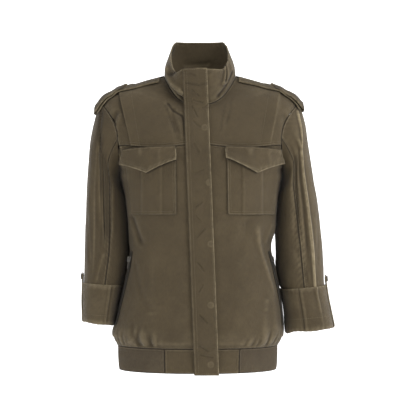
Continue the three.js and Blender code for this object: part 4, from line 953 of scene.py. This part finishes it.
# the depth changes slowly, so it is found on a coarser grid and read between its points
coarse_z, coarse_s, coarse_x = fly_grid(100, 9)
coarse = fly_depth(coarse_x, np.broadcast_to(coarse_z, coarse_x.shape))
coarse = np.stack([np.interp(fly_s[0], coarse_s[0], r) for r in coarse])
fly_y = np.stack([np.interp(fly_z[:, 0], coarse_z[:, 0], c) for c in coarse.T], 1)
fly_lift = 3.8 + 1.2 * smooth(0.3, 1, fly_s)
# the fly is lighter in a disc and a ring over each stud
fly_wear = 0 * fly_x
for stud_x, stud_z in STUDS:
    away = np.hypot(fly_x - stud_x, fly_z - stud_z)
    fly_lift = fly_lift + 0.7 * smooth(8, 5.4, away) - 0.2 * smooth(5, 2, away)
    fly_wear = fly_wear + 0.14 * smooth(8, 5.5, away) + 0.12 * bell(away - 6, 1.3)
# crinkles beside the stitching: across and height at two ends, half width, depth
FLY_FOLDS = [
    (-22, 6, -8, 0, 2, -0.8), (-30, -14, -2, -20, 2.6, -1), (0, -20, 22, -14, 2.4, -0.9),
    (-16, -30, 0, -42, 1.8, -1), (-12, -52, 8, -58, 1.6, -0.8), (-15, -66, -4, -88, 1.8, -0.9),
    (8, -70, 20, -62, 1.6, -0.7), (-12, -100, 2, -112, 1.8, -0.8),
    (-10, -150, 0, -168, 1.8, -0.7), (-8, -214, 10, -206, 1.8, -0.7),
    (-6, -286, 6, -276, 2, -0.8), (-6, -306, 4, -318, 1.8, -0.7), (-4, -352, 12, -334, 2, -0.8),
    (-2, -408, 10, -424, 2, -0.8), (0, -470, 8, -456, 1.8, -0.7), (2, -520, 18, -536, 2, -0.8),
    (2, -586, 20, -598, 2, -0.9), (4, -606, 30, -612, 2, -0.8),
]
# painted shade in the dents of the crinkles
fly_shade = 0 * fly_x
for x_a, z_a, x_b, z_b, half, depth in FLY_FOLDS:
    away = line_distance(fly_x, fly_z, [(x_a, z_a), (x_b, z_b)])
    dent = depth * bell(away, half)
    fly_lift = fly_lift + 1.7 * dent - 0.6 * depth * bell(away - 3.4, 2.4)
    fly_shade = fly_shade - 0.2 * dent
fly_face = np.stack([fly_x, fly_y - fly_lift, np.broadcast_to(fly_z, fly_x.shape)], -1)
fly_face = settle(fly_face, pucker=0.22)
rows = lines_in(fly_face, "left right bottom top", (4,), trim=None)
rows.append(line_in(fly_face, "left", 10, trim=(4, 4)))
marks = {"wear": fly_wear, "shade": fly_shade, "edge": mix(0.25, 0.85, smooth(-0.2, 0.2, fly_s))}
cut = (0.055, 0.68), 0.037, rows, ["front_left_cloth", "front_right_cloth"]
panel("fly", fly_face, DOUBLE_CLOTH, *cut, folded=0, **marks)

# Chest pockets: a patch of twill on each front with a raised box pleat, under a flap.
LAY_GAP, PLEAT_RISE = 0.7, 1.6
POCKET_LOW, POCKET_TOP = -303, -161
# of each pocket: outer x at the top and bottom, inner x there, and outer and inner x of its pleat
POCKETS = {
    "right": (-162, -146, -49, -47, -124, -79),
    "left": (175, 163, 60, 62, 138, 94),
}
# of each flap: outer and inner x, the same at the top, heights of its two corners, x of its point
FLAPS = {
    "right": (-168, -48, -164, -49, -190, -184, -111),
    "left": (182, 58, 177, 57, -188, -180, 124),
}
FLAP_TOP, FLAP_POINT = -154, -211


def flap_edge(side_name, s):
    """The height of a flap's lower edge at a share of its width, from the inner side."""
    outer, inner, _, _, corner_out, corner_in, point = FLAPS[side_name]
    share = (point - inner) / (outer - inner)
    climb = np.where(s < share, s / share, (1 - s) / (1 - share))
    return mix(np.where(s < share, corner_in, corner_out), FLAP_POINT, np.clip(climb, 0, 1) ** 1.25)


# columns of a pocket's grid: before, on and after the pleat
PLEAT_FIRST, PLEAT_LAST, POCKET_LAST = 13, 28, 40
column = np.arange(POCKET_LAST + 1)
knots = [0, PLEAT_FIRST - 1, PLEAT_FIRST, PLEAT_LAST, PLEAT_LAST + 1, POCKET_LAST]
for side_name, side in SIDES.items():
    outer_top, outer_low, inner_top, inner_low, pleat_out, pleat_in = POCKETS[side_name]
    z = np.linspace(POCKET_LOW, POCKET_TOP, 96)[:, None]
    outer = mix(outer_low, outer_top, smooth(POCKET_LOW, POCKET_TOP, z))
    inner = mix(inner_low, inner_top, (z - POCKET_LOW) / (POCKET_TOP - POCKET_LOW))
    pleat = [fold + step * side * 0.8 + 0 * z for fold in (pleat_in, pleat_out) for step in (-1, 1)]
    at = np.concatenate([inner, *pleat, outer], 1)
    x = np.stack([np.interp(column, knots, row) for row in at])[:, ::side]
    raised = np.where((column >= PLEAT_FIRST) & (column <= PLEAT_LAST), PLEAT_RISE, 0)[::side]
    turn, level = on_body(x, np.broadcast_to(z, x.shape))
    face = body(turn, level) + (LAY_GAP + CLOTH + raised)[None, :, None] * body_out(turn, level)
    face = settle(face)
    # Painted shadow: the pocket is darker in a band just below the flap's lower edge.
    flap_outer, flap_inner = FLAPS[side_name][:2]
    flap_share = (face[..., 0] - flap_inner) / (flap_outer - flap_inner)
    below = flap_edge(side_name, flap_share) - face[..., 2]
    under = 0.85 * smooth(-3, -0.5, below) * smooth(5, 0.5, below)
    rows = lines_in(face, "left right bottom", (2.2, 7.6), trim=None)
    cut = (0.133, 0.146), 0.0188, rows, [f"front_{side_name}_cloth"]
    panel(f"pocket_{side_name}", face, CLOTH, *cut, folded=0.45, shade=under, edge=0.2)

# Pocket flaps: doubled twill, pointed in the middle, sewn into the yoke seam above the pocket.
FLAP_LIFT = LAY_GAP + CLOTH + PLEAT_RISE + LAY_GAP + CLOTH
for side_name, side in SIDES.items():
    outer, inner, outer_top, inner_top, _, _, point = FLAPS[side_name]
    down = np.linspace(1, 0, 26)[:, None]
    share = (point - inner) / (outer - inner)
    s = np.concatenate([np.linspace(0, share, 31), np.linspace(share, 1, 31)[1:]])[None]
    z = mix(FLAP_TOP - 4 * s * s, flap_edge(side_name, s), down)[:, ::side]
    x = mix(mix(inner_top, outer_top, s), mix(inner, outer, s), down)[:, ::side]
    turn, level = on_body(x, z)
    lift = FLAP_LIFT + 3.6 * smooth(0.3, 1, down)
    dents = np.exp(-(((x - point + 14) / 7) ** 2 + ((z - FLAP_TOP + 12) / 14) ** 2))
    dents = dents + 0.8 * np.exp(-(((x - point - 26) / 6) ** 2 + ((z - FLAP_TOP + 20) / 16) ** 2))
    face = body(turn, level) + (lift + 1.3 * dents)[..., None] * body_out(turn, level)
    face = settle(face, pucker=0.25)
    rows = lines_in(face, "left right bottom", (6,), trim=None)
    cut = (0.155, 0.06), 0.0062, rows, [f"pocket_{side_name}_cloth"]
    panel(f"flap_{side_name}", face, CLOTH, *cut, edge=0.9 * smooth(0.12, 0.3, down))

# Sleeves: each is a top and an under sleeve of the same twill, sewn to the armhole and, front
# and back, to each other. They run out from the shoulder and hang down to the cuff.
# distance down the arm, outer x and z, inner x and z, middle y, depth to the front and back
SLEEVE_LEFT = np.array([
    (0, 221, -54, 180, -214, 2, 61, 57), (30, 234, -72, 188.5, -220, 2, 64, 61),
    (60, 239, -100, 191.5, -228, 2, 66, 64), (95, 244, -135, 189, -240, 3, 67, 66),
    (140, 250.5, -180, 183, -258, 4, 67, 67), (190, 258, -228, 181, -283, 5, 66, 66),
    (240, 266, -276, 179.5, -314, 5, 65, 65), (290, 271.5, -322, 178.5, -346, 4, 64, 64),
    (340, 276.5, -370, 179, -386, 2, 62, 62), (390, 279, -420, 181.5, -430, -1, 60, 60),
    (440, 281, -468, 188, -476, -6, 58, 58), (480, 288, -508, 194, -518, -10, 57, 57),
    (522, 296.5, -549, 197.5, -563, -14, 57, 57), (560, 304, -587, 200, -601, -17, 57, 57),
], float)
SLEEVE_RIGHT = np.array([
    (0, 219, -56, 172, -214, 2, 61, 57), (30, 231, -74, 180, -220, 2, 64, 61),
    (60, 236, -103, 183, -228, 2, 66, 64), (95, 242, -137, 180, -240, 3, 67, 66),
    (140, 246, -180, 173.5, -258, 4, 67, 67), (190, 249.5, -228, 170, -283, 5, 66, 66),
    (240, 252, -277, 167, -314, 5, 65, 65), (290, 253.5, -326, 164.5, -348, 4, 64, 64),
    (340, 255, -375, 165, -388, 2, 62, 62), (390, 256, -424, 172, -430, -1, 60, 60),
    (430, 256.5, -462, 179, -467, -6, 58, 58), (470, 256.5, -499, 187, -505, -10, 57, 57),
    (512, 255.5, -536, 193, -546, -13, 57, 57), (550, 254, -574, 197, -584, -16, 57, 57),
], float)
# angle round the arm at the top and bottom of a fold, its start and end down the arm, half
# width in degrees, depth
SLEEVE_FOLDS = {
    "left": [
        (74, 62, 20, 460, 9, 3), (100, 94, 30, 330, 8, -4), (262, 285, 150, 430, 14, -3.5),
        (330, 318, 60, 400, 12, -3), (74, 61, 44, 540, 2.6, 3.2), (30, 78, 24, 88, 4.5, 3),
        (83, 78, 40, 400, 4, -2.4), (66, 57, 60, 380, 5, -1.2), (30, 52, 260, 400, 7, -1.2),
        (100, 80, 330, 440, 6, -1.4), (300, 320, 240, 380, 8, -1.6), (230, 250, 80, 240, 9, -2),
        (345, 355, 300, 430, 7, -1.4),
    ],
    "right": [
        (66, 88, 30, 330, 8, -4), (42, 44, 60, 420, 11, 1.6), (265, 285, 150, 430, 14, -3.5),
        (325, 315, 60, 400, 12, -3), (88, 91, 40, 360, 3, -4.4), (24, 92, 20, 86, 5, -3.4),
        (99, 101, 60, 340, 5, 2), (118, 108, 110, 330, 4, -2.4), (35, 56, 250, 390, 7, -1.4),
        (92, 76, 340, 430, 6, -1.4), (300, 316, 240, 380, 8, -1.6), (236, 252, 90, 250, 9, -2),
        (348, 352, 300, 430, 7, -1.4),
    ],
}
# distance down the arm, and how far the sleeve's inner side hangs out towards the body there
SLEEVE_SLACK = {
    "left": np.array([
        (30, 0), (56, 5), (68, 7), (80, 8), (104, 7.5), (128, 6), (164, 5.5), (212, 6.5),
        (260, 7.5), (284, 9), (308, 8), (356, 8), (368, 9.5), (392, 9), (422, 7.2), (432, 2.8),
        (454, 2.2), (522, 2.5),
    ], float),
    "right": np.array([
        (30, 0), (56, 5.5), (68, 7.5), (80, 8.5), (104, 8), (128, 6.5), (164, 6.5), (308, 6.8),
        (332, 8.5), (380, 10), (404, 9), (418, 8.5), (428, 4.6), (476, 4.2), (512, 2),
    ], float),
}
# side, table, length, how far the front seam swings outwards on its way down, cuff depth
SLEEVES = {"left": (1, SLEEVE_LEFT, 522, 14, 90), "right": (-1, SLEEVE_RIGHT, 512, 4, 90)}


def armhole_edge(side, round_arm):
    """The armhole as an angle and a level: 0 at the shoulder, a quarter turn in front."""
    level = ARMHOLE_MIDDLE + ARMHOLE_HALF * np.cos(round_arm)
    sine = np.sin(round_arm)
    return side * (np.pi / 2 - sine * np.where(sine > 0, ARMHOLE_FRONT, ARMHOLE_BACK)), level


def plain_sleeve(which, round_arm, along):
    """The sleeve without folds: rings from the table, eased out of the armhole's edge."""
    side, rows = SLEEVES[which][:2]
    round_arm, along = np.broadcast_arrays(np.asarray(round_arm, float), np.asarray(along, float))
    columns = (read_column(rows, c, along) for c in range(1, 8))
    out_x, out_z, in_x, in_z, mid_y, front, back = columns
    round_point = np.cos(round_arm), np.sin(round_arm)
    cosine, sine = (np.sign(q) * np.abs(q) ** (2 / 2.3) for q in round_point)
    x = side * ((out_x + in_x) / 2 + (out_x - in_x) * cosine / 2)
    z = (out_z + in_z) / 2 + (out_z - in_z) * cosine / 2
    y = mid_y - sine * np.where(sine > 0, front, back)
    turn, level = armhole_edge(side, round_arm[:1])
    under = smooth(0.2, -0.3, np.cos(round_arm[:1]))
    edge = eased_body(turn, level)
    edge = edge + 0.5 * under[..., None] * normal_of(eased_body, turn, level, 0.004, 1)
    share = smooth(0, 75, along) ** 0.7
    return mix(edge, np.stack([x, y, z], -1), share[..., None])


def sleeve_grid(which, round_arm, along):
    """The sleeve's outer face with its folds, and its outward normals."""
    side = SLEEVES[which][0]
    round_arm, along = np.broadcast_arrays(round_arm, along)
    base = plain_sleeve(which, round_arm, along)
    du = plain_sleeve(which, round_arm + 0.02, along) - plain_sleeve(which, round_arm - 0.02, along)
    dv = plain_sleeve(which, round_arm, np.maximum(along, 2) + 1.5)
    dv = dv - plain_sleeve(which, round_arm, np.maximum(along, 2) - 1.5)
    out = unit(np.cross(du, dv) * side)
    degrees = np.degrees(round_arm)
    slack = np.interp(along, *SLEEVE_SLACK[which].T)
    depth = fold_depth(SLEEVE_FOLDS[which], degrees, along)
    depth = depth + slack * bell((degrees + 360) % 360 - 201, 36)
    return base + depth[..., None] * out, out


# the same columns, with a share of painted highlight along a ridge, mixed with wear, instead of a
# depth, or of painted shade, below 0
SLEEVE_RIDGES = {
    "left": [(74, 61, 44, 560, 2.6, 1.8), (30, 78, 22, 90, 5, 1.2), (90, 96, 60, 340, 3, -1)],
    "right": [(62, 66, 60, 420, 3, 0.3), (88, 91, 40, 360, 3, -1.1), (24, 92, 20, 86, 5, -0.9)],
}
SLEEVE_CUTS = {"top": ((0.256, 0.505), 0.092), "under": ((0.211, 0.445), 0.056)}
sleeves = {}
for which, (side, _, end, swing, _) in SLEEVES.items():
    along = np.concatenate([[1.7], np.linspace(6, end, 124)])[:, None]
    for label, low, high, count in (("top", -7, 7, 150), ("under", 7, 17, 64)):
        step = np.linspace(low, high, count)[None]
        ease = smooth(-1, 7, step) * smooth(17, 7, step)
        round_arm = np.radians(15 * step - swing * smooth(60, 420, along) * ease)
        round_arm[:, 0] += 0.0025
        round_arm[:, -1] -= 0.0025
        face, out = sleeve_grid(which, round_arm, along)
        # rows run down the arm, so the normals are turned where they would point inwards
        facing = side * np.sign(np.sum(grid_normal(face) * out))
        face = settle(face, facing=facing)
        sleeves[which, label] = face
        # painted highlight with wear on the ridges, painted shade in the creases
        fade = fold_depth(SLEEVE_RIDGES[which], np.degrees(round_arm), along)
        marks = {"wear": np.maximum(fade, 0), "shade": np.maximum(-fade, 0), "facing": facing}
        panel(f"sleeve_{label}_{which}", face, CLOTH, *SLEEVE_CUTS[label], **marks)
        if label == "top":
            sew(f"sleeve_{which}_stitches", lines_in(face, "left right", (2, 7), facing))

# Cuffs: the sleeve's end turned back 90 mm, so that its inside shows. Doubled by the turn.
# how uneven the turned edge is, in mm, and where the seam runs, in degrees round the arm
CUFF_EDGE = {"left": 2.4, "right": 0.9}
CUFF_SEAM = {"left": 103, "right": 122}
for which, (_, _, end, _, turned_back) in SLEEVES.items():
    # height above the sleeve's face, and distance past its end, from the upper edge down
    outside = np.array([
        (3.0, -turned_back), (3.9, 5 - turned_back), (4.1, -0.6 * turned_back), (3.9, -22),
        (3.6, -4), (3.3, 0.5), (2.4, 2.6), (1.2, 3.6),
    ])
    run = np.linspace(0, 1, 34)[:, None]
    length = run_length(outside)
    off, past = (np.interp(run * length[-1], length, part) for part in outside.T)
    round_arm = np.linspace(0, 2 * np.pi, 216, endpoint=False)[None]
    clear_of_tab = 1 - bell(np.sin(round_arm / 2), 0.26)
    waves = np.sin(2 * round_arm + 0.5) + 0.5 * np.sin(5 * round_arm)
    past = past + CUFF_EDGE[which] * waves * clear_of_tab * smooth(0.3, 0.85, run)
    face, out = sleeve_grid(which, round_arm, end + past)
    seam_turn = np.degrees(round_arm) - CUFF_SEAM[which]
    seam_line = bell(seam_turn, 1.6) * smooth(1, 0.9, run)
    crumple = 1.1 * np.sin(3 * round_arm + 4 * run) * np.sin(2.2 + 5 * run - round_arm)
    swell = crumple * clear_of_tab * smooth(0, 0.2, run) * smooth(1, 0.8, run)
    beside = 0.7 * bell(seam_turn + 4, 2.5)
    face = face + (off - 0.9 * seam_line + beside + swell * CUFF_EDGE[which] / 2.4)[..., None] * out
    facing = np.sign(np.sum(grid_normal(face, True) * out))
    face = settle(face, closed=True, facing=facing)
    rows = lines_in(face, "bottom", (3, turned_back - 22), facing, closed=True)
    cut = (0.355, 0.098), 0.0325, rows, [f"sleeve_top_{which}_cloth"]
    # the seam line is darkened with painted shade in its groove
    marks = {"closed": True, "facing": facing, "shade": 0.7 * seam_line, "edge": 0.8}
    panel(f"cuff_{which}", face, CLOTH, *cut, **marks)

# Roll tabs: a doubled twill strap that comes out from inside each cuff, turns up over its outer
# side and buttons above it.
TAB_HALF_WIDTH, TAB_THICK, TAB_ROWS = 11, 2, 90


def through(knots, count):
    """A smooth path through knots, evenly spaced: cubic pieces with the neighbours' slopes."""
    table = np.column_stack([run_length(knots), knots])
    at = np.linspace(0, table[-1, 0], count)
    return np.stack([read_column(table, c, at) for c in range(1, table.shape[1])], -1)


for which, (side, _, end, _, turned_back) in SLEEVES.items():
    # height above the sleeve's face, share of the cuff's depth, and distance past that
    stops = np.array([
        (5.2, -1, -24), (5.4, -1, -14), (5.8, -1, 0), (6.2, -0.7, 0), (6.2, -0.4, 0),
        (5.9, -0.12, 0), (5.8, 0, 2.8), (3.4, 0, 5.6), (-1.4, 0, 6), (-4.8, 0, 3.6), (-5, 0, -6),
    ])
    past = stops[:, 1:2] * turned_back + stops[:, 2:]
    base, out = sleeve_grid(which, 0 * past, end + past)
    knots = (base + stops[:, :1, None] * out)[:, 0]
    path = through(knots, TAB_ROWS)
    run = unit(np.gradient(path, axis=0))
    away = np.stack([-run[:, 2], 0 * run[:, 0], run[:, 0]], 1) * side
    across = np.linspace(-1, 1, 15)
    down = np.arange(TAB_ROWS) * np.linalg.norm(path[1] - path[0])
    half = TAB_HALF_WIDTH * np.clip(0.12 + down / 9, 0, 1)
    hold = smooth(140, 100, down)
    curve = -0.9 * across[None] ** 2 * hold[:, None] + TAB_THICK / 2
    face = path[:, None] + curve[..., None] * away[:, None]
    face[..., 1] += half[:, None] * across[None]
    facing = np.sign(np.sum(grid_normal(face) * away[:, None]))
    face = face + (0.6 * ripple(face))[..., None] * away[:, None]
    rows = lines_in(face, "left right", (2.4,), facing, (6, 6))
    cut = (0.022, 0.136), 0.0029, rows, [f"cuff_{which}_cloth"]
    panel(f"roll_tab_{which}", face, TAB_THICK, *cut, facing=facing, edge=1)

# Shoulder straps: doubled twill, sewn in at the neck, laid along the shoulder, folded back at
# its end and buttoned down on itself.
STRAP_MIDDLE, STRAP_HALF_WIDTH, STRAP_THICK = -16, 21.5, 2.4
STRAP_NECK, STRAP_SHOULDER, FOLD_RADIUS = 89, 224, 3.2
# stations along the shoulder and across the strap, and rows of the finished grid
STATIONS, ACROSS, STRAP_ROWS = 14, 9, 130


def quarter_turned(run):
    """Directions in the front view, turned a quarter upwards."""
    return np.stack([-run[..., 1], run[..., 0]], -1)


def tree_of(grids):
    """A search tree of the faces of several grids, to find where a line meets the cloth."""
    points, quads, base = [], [], 0
    for grid in grids:
        rows, columns = grid.shape[:2]
        i, j = np.meshgrid(np.arange(rows - 1), np.arange(columns - 1), indexing="ij")
        a = base + i * columns + j
        quads.append(np.stack([a, a + 1, a + columns + 1, a + columns], -1).reshape(-1, 4))
        points.append(grid.reshape(-1, 3))
        base += rows * columns
    return BVHTree.FromPolygons(np.concatenate(points).tolist(), np.concatenate(quads).tolist())


for which, side in SIDES.items():
    carriers = tree_of([yokes[which], back_face, sleeves[which, "top"], fronts[which]])
    across = np.linspace(-1, 1, ACROSS)
    stations = np.linspace(STRAP_NECK, STRAP_SHOULDER, STATIONS)
    seat = np.zeros((STATIONS, ACROSS))
    for i, x in enumerate(stations):
        for j, y in enumerate(STRAP_MIDDLE + across * STRAP_HALF_WIDTH):
            heights = []
            for dx, dy in [(dx, dy) for dx in (-5, 0, 5) for dy in (-4, 0, 4)]:
                hit = carriers.ray_cast((side * (x + dx), y + dy, 300), (0, 0, -1))[0]
                if hit:
                    heights.append(hit[2] + dx * 0.35)
            seat[i, j] = max(heights) + 0.5 + STRAP_THICK / 2
    paths = []
    bend = np.linspace(0, np.pi, 6)[1:, None]
    step = np.arange(7)
    for heights in seat.T:
        lower = np.column_stack([stations, heights])
        run = unit(lower[-1] - lower[-2])
        up = quarter_turned(run)
        tip = lower[-1] + 6 * run
        turned = tip + FOLD_RADIUS * (up + run * np.sin(bend) - up * np.cos(bend))
        along = quarter_turned(unit(np.diff(lower, axis=0)))[::-1][:7]
        rise = mix(2 * FOLD_RADIUS, 3.4, smooth(0, 5, step))[:, None]
        back_way = lower[::-1][:7] + rise * along
        paths.append(through(np.concatenate([lower, tip[None], turned, back_way]), STRAP_ROWS))
    path = np.stack(paths, 1)
    run = unit(np.gradient(path, axis=0))
    middle = path + STRAP_THICK / 2 * quarter_turned(run)
    fine = np.linspace(-1, 1, 21)
    middle = np.stack([[np.interp(fine, across, r[:, k]) for k in range(2)] for r in middle])
    x, z = side * middle[:, 0], middle[:, 1]
    left_over = np.arange(STRAP_ROWS)[::-1] * np.linalg.norm(path[-1, 4] - path[-2, 4])
    half = STRAP_HALF_WIDTH * np.clip(0.1 + left_over / 12, 0, 1)
    y = STRAP_MIDDLE + half[:, None] * fine[None]
    face = np.stack([x, y, z], -1)
    away = np.stack([-side * run[:, 4, 1], 0 * run[:, 4, 0], run[:, 4, 0]], -1)
    facing = np.sign(np.sum(grid_normal(face) * away[:, None]))
    face = face + (0.5 * ripple(face))[..., None] * away[:, None]
    rows = lines_in(face, "left right", (3.5,), facing, (4, 8))
    cut = (0.043, 0.235), 0.0099, rows, [f"yoke_{which}_cloth"]
    panel(f"shoulder_strap_{which}", face, STRAP_THICK, *cut, facing=facing, edge=0.8)

# Side pocket zips: woven tape with a closed metal chain, set in the fronts near the side seams.
zip_tape = cloth_material(
    "zip_tape", (0.02, 0.017, 0.012), (0.045, 0.037, 0.026), (0.09, 0.075, 0.05), 1500.0, 0.1
)
ZIP_TOP, ZIP_BOTTOM, ZIP_HALF_WIDTH, ZIP_TEETH = -384, -548, 7, 116
ZIP_TURNS = {"right": (-70, -76), "left": (70, 76)}
# the six sides of a tooth, by its corners
TOOTH_SIDES = np.array([
    (0, 1, 3, 2), (4, 6, 7, 5), (0, 4, 5, 1), (2, 3, 7, 6), (0, 2, 6, 4), (1, 5, 7, 3),
])


def metal(name, tint, roughness):
    """Plain metal with fine uneven polish, read from the object's own coordinates."""
    made = bpy.data.materials.new(name)
    made.use_nodes = True
    tree = made.node_tree
    shader = tree.nodes["Principled BSDF"]
    shader.inputs["Base Color"].default_value = (*tint, 1)
    shader.inputs["Metallic"].default_value = 1
    at = node_in(tree, "ShaderNodeTexCoord").outputs["Object"]
    rough = maths(tree, "MULTIPLY_ADD", noise(tree, at, 900.0, Detail=3.0), 0.25, roughness)
    tree.links.new(rough, shader.inputs["Roughness"])
    return made


silver_metal = metal("silver_metal", (0.17, 0.16, 0.145), 0.22)
dark_metal = metal("dark_metal", (0.085, 0.078, 0.07), 0.3)
for which, side in SIDES.items():
    level = np.linspace(ZIP_BOTTOM, ZIP_TOP, 50)[:, None]
    start, stop = ZIP_TURNS[which]
    middle = np.radians(mix(start, stop, (ZIP_TOP - level) / (ZIP_TOP - ZIP_BOTTOM)))
    turn = middle + np.linspace(-ZIP_HALF_WIDTH, ZIP_HALF_WIDTH, 11)[None] / 150
    face = body(turn, level) + 1.9 * body_out(turn, level)
    piece = cloth(f"zip_{which}_tape", face, 1, material=zip_tape)
    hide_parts(f"zip_{which}")
    below = [f"front_{which}_cloth"]
    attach(piece, "jacket")
    tooth_level = np.linspace(ZIP_BOTTOM + 2, ZIP_TOP - 2, ZIP_TEETH)[:, None]
    tooth_turn = np.radians(mix(start, stop, (ZIP_TOP - tooth_level) / (ZIP_TOP - ZIP_BOTTOM)))
    shift = np.where(np.arange(ZIP_TEETH) % 2 == 0, 1, -1)[:, None] * 0.8
    seat_point = body(tooth_turn + shift / 150, tooth_level)[:, 0]
    away = body_out(tooth_turn, tooth_level)[:, 0]
    up = unit(np.gradient(body(tooth_turn, tooth_level)[:, 0], axis=0))
    axes = np.stack([np.cross(up, away), up, away], 1)
    corner = np.array([(a, b, c) for a in (-1.7, 1.7) for b in (-0.5, 0.5) for c in (1.7, 3.2)])
    block = seat_point[:, None] + corner @ axes

    quads = (8 * np.arange(ZIP_TEETH)[:, None, None] + TOOTH_SIDES[None]).reshape(-1, 4)
    mesh = bpy.data.meshes.new(f"zip_{which}_teeth")
    mesh.from_pydata((block.reshape(-1, 3) / 1000).tolist(), [], quads.tolist())
    mesh.materials.append(dark_metal)
    teeth = add_object(mesh.name, mesh)
    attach(teeth, "jacket")

# Metal buttons, sliders and pulls: turned or cast pieces whose modelled shape is right as it is.
for name in ("strap_button", "tab_button", "slider", "pull"):
    for side_name in SIDES:
        node = frame["nodes"][f"{name}_{side_name}"]
        finish = silver_metal if name in ("slider", "pull") else dark_metal
        node.data.materials.clear()
        node.data.materials.append(finish)
